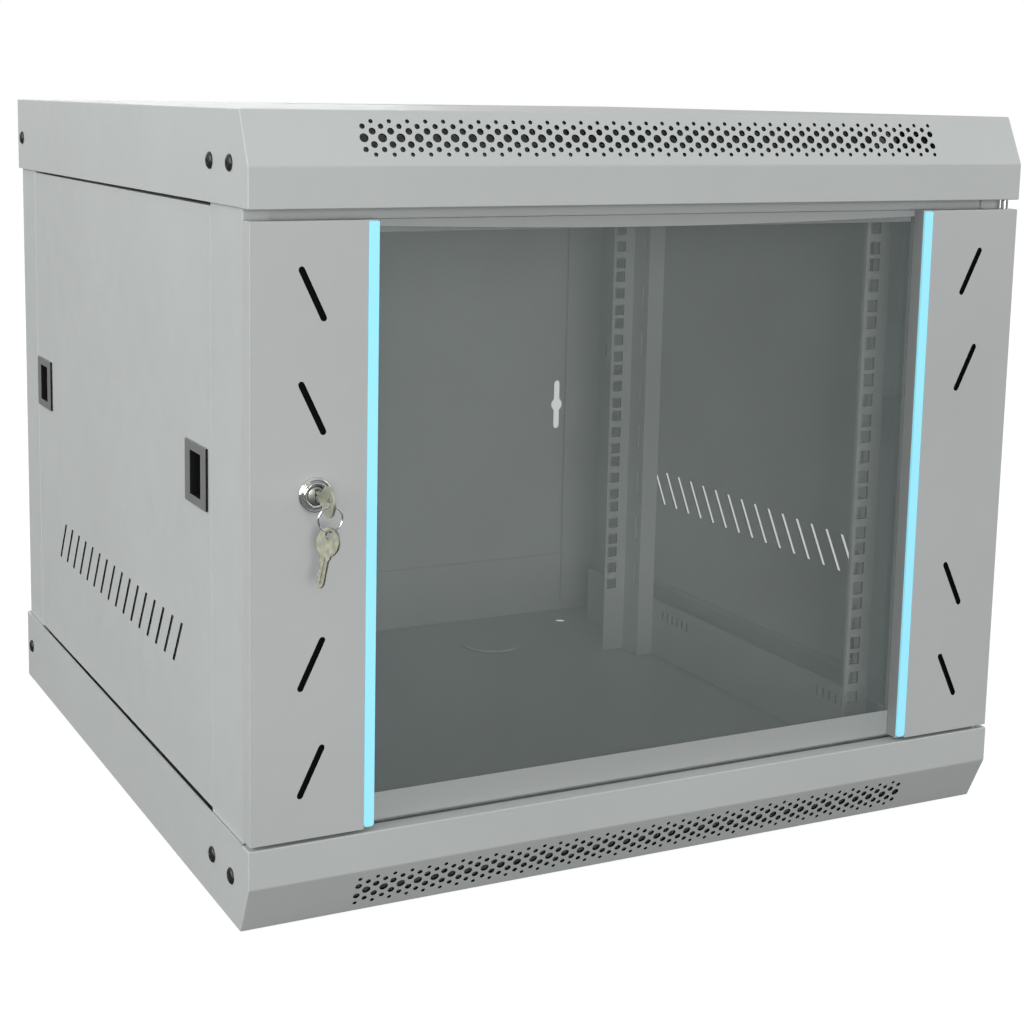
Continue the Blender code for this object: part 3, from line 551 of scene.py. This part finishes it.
def folded_cover():
    """A sheet-metal cover as on top of the cabinet: lip, band, slope, roof and three flanges."""
    drop = HOOD[1].z - HOOD[0].z
    section = [(FRONT + LIP, 0.0), (FRONT, 0.0), (FRONT, BAND), (FRONT + SETBACK, drop), (BACK, drop),
               (BACK, 0.0)]
    shape = bmesh.new()
    rows = [[shape.verts.new((x, y, z)) for y, z in section] for x in (-RIGHT, RIGHT)]
    for i in range(len(section) - 1):
        shape.faces.new((rows[0][i], rows[1][i], rows[1][i + 1], rows[0][i + 1]))
    for row in rows:
        shape.faces.new(row)
    bmesh.ops.recalc_face_normals(shape, faces=shape.faces)
    roof = max(shape.faces, key=lambda face: face.calc_area())
    if roof.normal.z < 0:
        bmesh.ops.reverse_faces(shape, faces=shape.faces)
    folds = [e for e in shape.edges if len(e.link_faces) == 2]
    bmesh.ops.bevel(shape, geom=folds, offset=FOLD, segments=4, profile=0.5, affect="EDGES")
    return shape


def slope_frame():
    """The slope's two axes, and where its middle lies along the second."""
    drop = HOOD[1].z - HOOD[0].z
    low = Vector((0, FRONT, BAND))
    high = Vector((0, FRONT + SETBACK, drop))
    up = (high - low).normalized()
    return (Vector((1, 0, 0)), up), ((low + high) / 2).dot(up)


def darken_perforation(piece, outward):
    """The walls of the holes through the slope get painted shade: they are near-black, as if in shadow."""
    piece.data.materials.append(LOOKS["hole_shade"])
    for face in piece.data.polygons:
        small = face.area < HOLE_WALL and abs(face.center.x) < PERFORATION_SPAN / 2 + HOLE_MARGIN
        if small and face.center.y < FRONT + SETBACK and abs(face.normal.dot(outward)) < SQUARE:
            face.material_index = 1


def make_cover(cad_node, roof_holes, placed):
    """Build a cover as the hood stands, with its lower edge at z = 0, and put it in its place."""
    shape = folded_cover()
    axes, middle = slope_frame()
    outward = Vector((0, -axes[1].z, axes[1].y))
    pierce(shape, face_towards(shape, outward, SLOPE_AREA), axes, perforation(middle))
    roof = face_towards(shape, Vector((0, 0, 1)), ROOF_AREA)
    pierce(shape, roof, (Vector((1, 0, 0)), Vector((0, 1, 0))), roof_holes)
    shape.transform(placed)
    piece = link_mesh(f"{cad_node}_look", shape, "coat", closed=False)
    sheet = piece.modifiers.new("sheet", "SOLIDIFY")
    sheet.thickness = SHEET
    sheet.offset = -1.0
    sheet.use_even_offset = True
    baked(piece)
    darken_perforation(piece, placed.to_3x3() @ outward)
    smooth(piece, 30.0)
    return place(piece, BODY_OF[cad_node], "powder_coat", cad_node)


ROOF_ENTRY_MARGIN = 0.012
FLOOR_ENTRY_RADIUS = 0.023
FOOT_HOLE_RADIUS = 0.0055
FOOT_HOLES = ((0.205, -0.215), (0.240, 0.262))


def make_hood_and_base():
    """The base is the hood's shape turned over, with other holes in what was the roof."""
    plate_low, plate_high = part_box("top_cable_plate")
    entry = rectangle((plate_low.x + ROOF_ENTRY_MARGIN, plate_high.x - ROOF_ENTRY_MARGIN),
                      (plate_low.y + ROOF_ENTRY_MARGIN, plate_high.y - ROOF_ENTRY_MARGIN))
    make_cover("top_cover", [entry], Matrix.Translation((0, 0, HOOD[0].z)))
    floor_low, floor_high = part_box("base_cable_plate")
    middle = (floor_low + floor_high) / 2
    holes = [circle((-middle.x, middle.y), FLOOR_ENTRY_RADIUS, 40)]
    holes += [circle((side * x, y), FOOT_HOLE_RADIUS, 20) for side in (-1, 1) for x, y in FOOT_HOLES]
    flip = Matrix.Rotation(math.pi, 4, "Y")
    make_cover("base_pan", holes, Matrix.Translation((0, 0, BASE[1].z)) @ flip)


# ---------------------------------------------------------------- plain folded pieces
# A latch housing is bezel in front of this depth and pocket behind it
CUP_DEPTH = 0.003
# A housing's face looks outwards when its distance along its normal from the middle passes this
OUTWARD = 0.0001
# The returns of the door's bars lie no further than this from the pane's side edges
RETURN_REACH = 0.006


def paint_housing(housing):
    """A latch's bezel is black plastic with its face painted grey as a sheen, and black on its upright
    edges and in its pocket.

    The outside of the pocket, within the cabinet, is painted as the panel is.
    """
    housing.data.materials.append(LOOKS["pocket"])
    housing.data.materials.append(LOOKS["coat"])
    low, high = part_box(housing.name.removesuffix("_look"))
    middle = (low + high) / 2
    for face in housing.data.polygons:
        inside = RIGHT - abs(face.center.x) > CUP_DEPTH
        outward = face.normal.dot(face.center - middle) * (1 - abs(face.normal.x)) > OUTWARD
        behind = face.normal.x * middle.x < 0 and abs(face.center.x) < abs(middle.x) - CUP_DEPTH
        if inside and (outward or behind):
            face.material_index = 2
        elif inside or abs(face.normal.y) > PARTLY_ALONG:
            face.material_index = 1


def shade_return(bar):
    """The narrow returns beside the pane lie in shade, and are darker than the bar's face."""
    bar.data.materials.append(LOOKS["return"])
    low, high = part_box("door_glass")
    for face in bar.data.polygons:
        beside_pane = low.x - RETURN_REACH < face.center.x < high.x + RETURN_REACH
        if beside_pane and abs(face.normal.x) > MOSTLY_ALONG and face.normal.x * face.center.x < 0:
            face.material_index = 2


def brighten_rim(cover_plate):
    """The cover plate's cut rim is coloured near-white, so that it shows as a light ring."""
    cover_plate.data.materials.append(LOOKS["light_rim"])
    for face in cover_plate.data.polygons:
        if abs(face.normal.z) < PARTLY_ALONG:
            face.material_index = 1


def make_sheet_pieces():
    for hand in ("left", "right"):
        for name in ("front_upright", "rear_upright"):
            refined(f"{name}_{hand}", "coat")
        for name in ("rail_front", "rail_rear"):
            refined(f"{name}_{hand}", "coat", slots_across=Vector((0, 1, 0)))
        for name in ("side_panel", "rail_support_bottom", "rail_support_top"):
            refined(f"{name}_{hand}", "coat", slots_across=Vector((1, 0, 0)))
    for name in ("front_lintel_top", "front_lintel_bottom", "rear_panel", "top_cable_plate"):
        refined(name, "coat")
    brighten_rim(refined("base_cable_plate", "coat"))
    for name in ("door_bar_left", "door_bar_right"):
        shade_return(refined(name, "door_coat", fold=0.0011, slots_across=Vector((0, 1, 0))))
    for name in ("door_rail_top", "door_rail_bottom"):
        refined(name, "door_coat", fold=0.0008)
    for hand in ("left", "right"):
        refined(f"vent_backing_{hand}", "black", fold=0.0003, cut=0.0002)
        for spot in ("front", "rear"):
            paint_housing(refined(f"latch_housing_{spot}_{hand}", "bezel", fold=0.0007, cut=0.0003,
                                  narrow=0.0013, corners=(Vector((1, 0, 0)), 0.0020)))
            refined(f"latch_slider_{spot}_{hand}", "slider", fold=0.0005, cut=0.0003)


# ---------------------------------------------------------------- screws and hinge pins
SCREW_HEAD = 0.0055
SCREW_SHANK = 0.0028
SCREW_LENGTH = 0.012
SCREW_SEAT_GAP = 0.00003
# The cross recess: its wings' reach, half their width, and the heights of its floor and of the cutter
RECESS_REACH = 0.0031
RECESS_HALF = 0.00065
RECESS_FLOOR = 0.0004
RECESS_TOP = 0.0040
RECESS_TAPER = 0.55


def screw_mesh():
    """A pan-head screw seated at z = 0, with a cross recess."""
    profile = [(0.0, 0.0021), (0.0034, 0.0020), (0.0048, 0.0014), (SCREW_HEAD, 0.0006),
               (SCREW_HEAD, 0.0), (SCREW_SHANK, 0.0), (SCREW_SHANK, -SCREW_LENGTH + 0.001),
               (0.0018, -SCREW_LENGTH), (0.0, -SCREW_LENGTH)]
    screw = lathe("screw", rounded(profile, 0.0007), "screw", 32)
    wings = []
    for x, y in ((RECESS_REACH, RECESS_HALF), (RECESS_HALF, RECESS_REACH)):
        wing = box_piece("wing", (-x, -y, RECESS_FLOOR), (x, y, RECESS_TOP), "screw")
        for vert in wing.data.vertices:
            if vert.co.z < (RECESS_FLOOR + RECESS_TOP) / 2:
                vert.co.x *= RECESS_TAPER
                vert.co.y *= RECESS_TAPER
        wings.append(wing)
    carved(screw, *wings)
    soften(screw, 0.00012, 40.0)
    return screw


def make_screws():
    """One pattern copied to every screw's place, each turned by its own angle."""
    pattern = screw_mesh()
    for name in frame["nodes"]:
        if not name.startswith("screw_"):
            continue
        low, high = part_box(name)
        side = 1 if low.x > 0 else -1
        piece = pattern.copy()
        piece.name = f"{name}_look"
        bpy.context.scene.collection.objects.link(piece)
        seat = Vector((side * (RIGHT + SCREW_SEAT_GAP), (low.y + high.y) / 2, (low.z + high.z) / 2))
        turn = 0.5 + 1.3 * seat.y + 2.1 * seat.z
        piece.matrix_world = (Matrix.Translation(seat) @ Matrix.Rotation(side * math.pi / 2, 4, "Y")
                              @ Matrix.Rotation(turn, 4, "Z"))
        place(piece, BODY_OF[name], "black_screw", name)
    bpy.data.objects.remove(pattern, do_unlink=True)


PIN_RADIUS = 0.0025
PIN_TIP = 0.0019
PIN_TAPER = 0.0008
PIN_HEAD = 0.0045
PIN_CHAMFER = 0.0004
WASHER_GAP = 0.0002


def make_hinge_pins():
    """The upper pin's head is above the door, and the lower one carries a washer under the door."""
    x, y, _ = JOINT_AT["door_swing"]
    at = Matrix.Translation((x, y, 0))
    low, high = (corner.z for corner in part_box("hinge_pin_top"))
    top = [(0, low), (PIN_TIP, low), (PIN_RADIUS, low + PIN_TAPER), (PIN_RADIUS, high - PIN_RADIUS),
           (PIN_HEAD, high - PIN_RADIUS), (PIN_HEAD, high - PIN_CHAMFER), (PIN_HEAD - PIN_CHAMFER, high),
           (0, high)]
    place(moved(lathe("hinge_pin_top_look", top, "zinc"), at), "frame", "zinc_pin", "hinge_pin_top")
    low, high = (corner.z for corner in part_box("hinge_pin_bottom"))
    washer = (BASE[1].z + WASHER_GAP, DOOR_BAR[0].z - WASHER_GAP)
    bottom = [(0, low), (PIN_HEAD - PIN_CHAMFER, low), (PIN_HEAD, low + PIN_CHAMFER),
              (PIN_HEAD, low + PIN_RADIUS), (PIN_RADIUS, low + PIN_RADIUS), (PIN_RADIUS, washer[0]),
              (PIN_HEAD, washer[0]), (PIN_HEAD, washer[1]), (PIN_RADIUS, washer[1]),
              (PIN_RADIUS, high - PIN_TAPER), (PIN_TIP, high), (0, high)]
    pin = moved(lathe("hinge_pin_bottom_look", bottom, "zinc"), at)
    place(pin, "frame", "zinc_pin", "hinge_pin_bottom")


# ---------------------------------------------------------------- door trim
def make_strips():
    """Bright edge strips with rounded lower ends."""
    for hand in ("left", "right"):
        low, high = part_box(f"accent_strip_{hand}")
        half = (high.x - low.x) / 2
        bend = 0.0022
        lower = [(side * (half - bend) + bend * math.cos(t), low.z + bend + bend * math.sin(t))
                 for side, start in ((-1, math.pi), (1, 1.5 * math.pi))
                 for t in (start + math.pi / 2 * i / 5 for i in range(6))]
        outline = lower + [(half, high.z), (-half, high.z)]
        strip = plate(f"accent_strip_{hand}_look", outline, [], high.y - low.y, "strip")
        moved(strip, Matrix.Translation(((low.x + high.x) / 2, (low.y + high.y) / 2, 0)))
        soften(strip, 0.00045, segments=3)
        place(strip, "door", "accent_strip", f"accent_strip_{hand}")


BORDER_TOP_END = 0.0042
BORDER_TOP_MIDDLE = 0.0078
BORDER_BOTTOM = 0.0185
BORDER_THICK = 0.00012
BORDER_STEPS = 24


def make_glass_border():
    """Paint on the pane's front: a bowed band along its top and a straight one along its bottom."""
    low, high = GLASS
    top = high.z - BORDER_TOP_END
    sag = BORDER_TOP_MIDDLE - BORDER_TOP_END
    bow = [(low.x + (high.x - low.x) * t, top - sag * math.sin(math.pi * t))
           for t in (i / BORDER_STEPS for i in range(BORDER_STEPS + 1))]
    bands = {"glass_border_top": bow + [(high.x, high.z), (low.x, high.z)],
             "glass_border_bottom": rectangle((low.x, high.x), (low.z, low.z + BORDER_BOTTOM))}
    for name, outline in bands.items():
        band = plate(name, outline, [], BORDER_THICK, "border")
        moved(band, Matrix.Translation((0, low.y - BORDER_THICK / 2 - 0.00001, 0)))
        smooth(band, 40.0)
        place(band, "door", "powder_coat")


# ---------------------------------------------------------------- lock and keys
LOCK = JOINT_AT["lock_turn"]
FACING_FRONT = Matrix.Translation((LOCK.x, FRONT, LOCK.z)) @ Matrix.Rotation(math.pi / 2, 4, "X")
LOCK_BORE = 0.0062
LOCK_BARREL = 0.0095
LOCK_FLANGE = 0.0115
LOCK_DEPTH = 0.0218
PLUG_TAIL = 0.0042
PLUG_DEPTH = 0.0265
KEY_THICK = 0.0017
KEY_CUTS = (0.0009, 0.0018, 0.0006, 0.0014, 0.0008)


def make_lock():
    """Heights are in front of the door's face: a stepped chrome barrel round a plug with a keyway."""
    barrel = [(LOCK_BORE, -LOCK_DEPTH), (LOCK_BARREL, -LOCK_DEPTH), (LOCK_BARREL, 0.0001),
              (LOCK_FLANGE, 0.0001), (LOCK_FLANGE, 0.0013), (0.0105, 0.0026), (0.0097, 0.0027),
              (0.0094, 0.0021), (0.0088, 0.0021), (0.0083, 0.0034), (0.0070, 0.0035), (LOCK_BORE, 0.0029)]
    piece = lathe("lock_barrel_look", rounded(barrel + barrel[:1], 0.0004)[:-1], "chrome", 64, closed=True)
    place(moved(piece, FACING_FRONT), "door", "chrome", "lock_barrel")
    shoulder = -LOCK_DEPTH + 0.0002
    plug = [(0, 0.0028), (0.0050, 0.0028), (0.0058, 0.0023), (0.0060, 0.0018), (0.0060, shoulder),
            (PLUG_TAIL, shoulder), (PLUG_TAIL, -PLUG_DEPTH), (0, -PLUG_DEPTH)]
    piece = moved(lathe("lock_plug_look", plug, "steel_grey", 48), FACING_FRONT)
    keyway = box_piece("keyway", (LOCK.x - 0.0011, FRONT - 0.01, LOCK.z - 0.0041),
                       (LOCK.x + 0.0011, FRONT + 0.0152, LOCK.z + 0.0041), "hole_shade")
    carved(piece, keyway)
    smooth(piece, 40.0)
    place(piece, "lock_plug", "chrome", "lock_plug")
    low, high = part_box("lock_nut")
    nut = plate("lock_nut_look", circle((LOCK.x, LOCK.z), 0.0130, 6),
                [circle((LOCK.x, LOCK.z), 0.0098, 32)], high.y - low.y, "zinc")
    moved(nut, Matrix.Translation((0, (low.y + high.y) / 2, 0)))
    place(soften(nut, 0.0003), "door", "nickel_brass", "lock_nut")
    refined("lock_cam", "zinc", fold=0.0003, cut=0.0003)


def key_outline(wide, tall, neck, blade, length):
    """A key that points down, with its bow's centre at the start and cuts along one edge of its blade."""
    start = math.asin(neck / wide)
    sweep = 2 * math.pi - 2 * start
    bow = [(wide * math.cos(t), tall * math.sin(t))
           for t in (start - math.pi / 2 + sweep * i / 36 for i in range(37))]
    shoulder = -tall - 0.0006
    top = shoulder - 0.0012
    pitch = (length + top - 0.0032) / len(KEY_CUTS)
    toothed = []
    for i, depth in enumerate(KEY_CUTS):
        middle = top - 0.0012 - pitch * (i + 0.5)
        toothed += [(-blade, middle + pitch * 0.42), (depth - blade, middle + pitch * 0.15),
                    (depth - blade, middle - pitch * 0.15), (-blade, middle - pitch * 0.42)]
    tip = [(-blade * 0.25, -length), (blade * 0.45, -length + 0.0004), (blade, -length + 0.0026)]
    return bow + [(-neck, shoulder), (-blade, top)] + toothed + tip + [(blade, top), (neck, shoulder)]


def make_key(name, wide, tall, neck, blade, length, hole, look):
    """A flat key in the XZ plane, its bow's centre at the origin, with a milled groove on both faces."""
    key = plate(name, key_outline(wide, tall, neck, blade, length), [circle(*hole, 24)], KEY_THICK, look)
    grooves = []
    for side in (-1, 1):
        y = sorted((side * KEY_THICK * 0.28, side * KEY_THICK))
        grooves.append(box_piece("groove", (blade * 0.05, y[0], -length + 0.003),
                                 (blade * 0.45, y[1], -tall - 0.0005), look))
    carved(key, *grooves)
    return key


BOW_WIDE = 0.0098
BOW_TALL = 0.0100
KEY_RING_HOLE = 0.0029


def make_key_in_lock():
    """The key stands edge-on in the plug, with its bow in front of the door."""
    low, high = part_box("key_in_lock")
    bow_y = low.y + BOW_TALL
    ring_y = JOINT_AT["key_ring_swing"].y
    length = high.y - bow_y
    key = make_key("key_in_lock_look", BOW_WIDE, BOW_TALL, 0.0045, 0.0034, length,
                   ((0.0, bow_y - ring_y), KEY_RING_HOLE), "nickel")
    # The key's length runs along Y and its width along Z
    edge_on = Matrix(((0, 1, 0, LOCK.x), (0, 0, -1, bow_y), (1, 0, 0, LOCK.z), (0, 0, 0, 1)))
    soften(moved(key, edge_on), 0.00022, 45.0)
    place(key, "lock_plug", "nickel_brass", "key_in_lock")


RING_RADIUS = 0.0080
RING_WIRE = 0.00052
RING_TURNS = 1.9
RING_STEPS = 96


def make_key_ring():
    """A split ring: nearly two turns of wire side by side, hung in the bow's hole."""
    top = JOINT_AT["key_ring_swing"]
    centre = top - Vector((0, 0, RING_RADIUS))
    points = []
    for i in range(RING_STEPS + 1):
        share = i / RING_STEPS
        turn = 2 * math.pi * RING_TURNS * share + 0.8
        shift = (share - 0.5) * 2.1 * RING_WIRE
        points.append(centre + Vector((RING_RADIUS * math.cos(turn), shift, RING_RADIUS * math.sin(turn))))
    place(tube("key_ring_look", points, RING_WIRE, "chrome"), "key_ring", "chrome", "key_ring")


SPARE_WIDE = 0.0088
SPARE_TALL = 0.0092
SPARE_LENGTH = 0.0290
SPARE_HOLE_RISE = 0.0044
RING_PLAY = 0.0003
SPARE_TWIST = math.radians(60)
SPARE_LEAN = math.radians(24)


def make_spare_key():
    """Hangs from the bottom of the ring, turned partly towards the left and leaning."""
    hang = JOINT_AT["spare_key_swing"]
    hole_drop = KEY_RING_HOLE - RING_WIRE - RING_PLAY
    bow_drop = hole_drop + SPARE_HOLE_RISE
    # The spare key wears the darker nickel silver, painted shade
    key = make_key("spare_key_look", SPARE_WIDE, SPARE_TALL, 0.0040, 0.0030, SPARE_LENGTH,
                   ((0.0, bow_drop - hole_drop), KEY_RING_HOLE), "shaded_nickel")
    settle = math.atan(math.tan(SPARE_LEAN) * math.sin(SPARE_TWIST))
    pose = (Matrix.Translation(hang) @ Matrix.Rotation(-settle, 4, "X")
            @ Matrix.Rotation(-SPARE_TWIST, 4, "Z") @ Matrix.Rotation(SPARE_LEAN, 4, "Y"))
    soften(moved(key, pose @ Matrix.Translation((0, 0, -bow_drop))), 0.00022, 45.0)
    place(key, "spare_key", "nickel_brass", "spare_key")


# ---------------------------------------------------------------- stage
FLOOR_BOUNCE = 0.14
FLOOR_GLOW = 0.93
FLOOR_DROP = 0.0004


def make_stage():
    """A pale floor that stays white for the camera and throws little light back up."""
    shape = bmesh.new()
    bmesh.ops.create_grid(shape, x_segments=1, y_segments=1, size=9.0)
    floor = link_mesh("floor", shape, "coat")
    floor.location.z = -FLOOR_DROP
    pale = bpy.data.materials.new("pale_floor")
    pale.use_nodes = True
    pale.node_tree.nodes.clear()
    dull = node(pale, "ShaderNodeBsdfDiffuse", Color=(FLOOR_BOUNCE,) * 3 + (1.0,))
    glow = node(pale, "ShaderNodeEmission", Color=(1.0, 1.0, 1.0, 1.0), Strength=FLOOR_GLOW)
    both = pale.node_tree.nodes.new("ShaderNodeAddShader")
    pick = pale.node_tree.nodes.new("ShaderNodeMixShader")
    path = pale.node_tree.nodes.new("ShaderNodeLightPath")
    output = pale.node_tree.nodes.new("ShaderNodeOutputMaterial")
    links = pale.node_tree.links
    links.new(dull.outputs[0], both.inputs[0])
    links.new(glow.outputs[0], both.inputs[1])
    links.new(path.outputs["Is Camera Ray"], pick.inputs[0])
    links.new(dull.outputs[0], pick.inputs[1])
    links.new(both.outputs[0], pick.inputs[2])
    links.new(pick.outputs[0], output.inputs[0])
    floor.data.materials[0] = pale


SKY_LEVEL = 0.55
SKY_RISE = 0.28


def make_world():
    """White behind the object; its light grows from the horizon to overhead."""
    world = bpy.data.worlds.new("white_studio")
    bpy.context.scene.world = world
    world.use_nodes = True
    nodes, links = world.node_tree.nodes, world.node_tree.links
    seen = nodes["Background"]
    seen.inputs["Color"].default_value = (1.0, 1.0, 1.0, 1.0)
    lit = nodes.new("ShaderNodeBackground")
    place_node = nodes.new("ShaderNodeTexCoord")
    height = nodes.new("ShaderNodeSeparateXYZ")
    ramp = nodes.new("ShaderNodeMapRange")
    ramp.inputs["To Min"].default_value = SKY_LEVEL
    ramp.inputs["To Max"].default_value = SKY_LEVEL + SKY_RISE
    path = nodes.new("ShaderNodeLightPath")
    pick = nodes.new("ShaderNodeMixShader")
    links.new(place_node.outputs["Generated"], height.inputs[0])
    links.new(height.outputs["Z"], ramp.inputs["Value"])
    links.new(ramp.outputs["Result"], lit.inputs["Strength"])
    links.new(path.outputs["Is Camera Ray"], pick.inputs[0])
    links.new(lit.outputs[0], pick.inputs[1])
    links.new(seen.outputs[0], pick.inputs[2])
    links.new(pick.outputs[0], nodes["World Output"].inputs[0])


# Where each stands, where it points, its width and height, and its watts
SOFTBOXES = {
    "front_softbox": ((-1.02, -3.37, 0.60), (0.05, -0.3, 0.25), (1.2, 0.9), 37.0),
    "left_softbox": ((-3.2, -0.2, 1.4), (-0.3, 0, 0.25), (2.6, 2.4), 56.0),
    "right_softbox": ((3.2, -1.0, 1.4), (0.3, 0, 0.25), (2.2, 2.0), 24.0),
    "back_softbox": ((0.4, 3.4, 1.4), (0, 0.3, 0.25), (2.2, 2.0), 30.0),
}


def make_softbox(name, location, target, size, power):
    data = bpy.data.lights.new(name, "AREA")
    data.shape = "RECTANGLE"
    data.size, data.size_y = size
    data.energy = power
    lamp = bpy.data.objects.new(name, data)
    lamp.location = location
    lamp.rotation_euler = (Vector(target) - lamp.location).to_track_quat("-Z", "Y").to_euler()
    bpy.context.scene.collection.objects.link(lamp)


CAMERA_AT = (-0.6759, -1.3533, 0.5358)
# To the right of +Y, downwards, and anticlockwise
CAMERA_TURN = (25.775, 8.929, 0.898)
CAMERA_LENS = 65.25
CAMERA_SHIFT = (0.0654, -0.124)


def make_camera():
    data = bpy.data.cameras.new("camera")
    data.lens = CAMERA_LENS
    data.shift_x, data.shift_y = CAMERA_SHIFT
    camera = bpy.data.objects.new("camera", data)
    bpy.context.scene.collection.objects.link(camera)
    yaw, pitch, roll = (math.radians(angle) for angle in CAMERA_TURN)
    ahead = Vector((math.sin(yaw) * math.cos(pitch), math.cos(yaw) * math.cos(pitch), -math.sin(pitch)))
    level = Vector((math.cos(yaw), -math.sin(yaw), 0))
    upright = level.cross(ahead)
    right = level * math.cos(roll) + upright * math.sin(roll)
    up = upright * math.cos(roll) - level * math.sin(roll)
    turn = Matrix((right, up, -ahead)).transposed().to_4x4()
    camera.matrix_world = Matrix.Translation(CAMERA_AT) @ turn
    bpy.context.scene.camera = camera


def tint_pane():
    """The pane keeps its CAD mesh and throws no shadow, so that the inside stays bright."""
    pane = frame["nodes"]["door_glass"]
    pane.data.materials.clear()
    pane.data.materials.append(LOOKS["glass"])
    pane.visible_shadow = False


# ---------------------------------------------------------------- everything
make_camera()
make_world()
for softbox, settings in SOFTBOXES.items():
    make_softbox(softbox, *settings)
make_stage()
bpy.context.scene.view_settings.view_transform = "Standard"
make_hood_and_base()
make_sheet_pieces()
make_screws()
make_hinge_pins()
make_strips()
make_glass_border()
make_lock()
make_key_in_lock()
make_key_ring()
make_spare_key()
tint_pane()
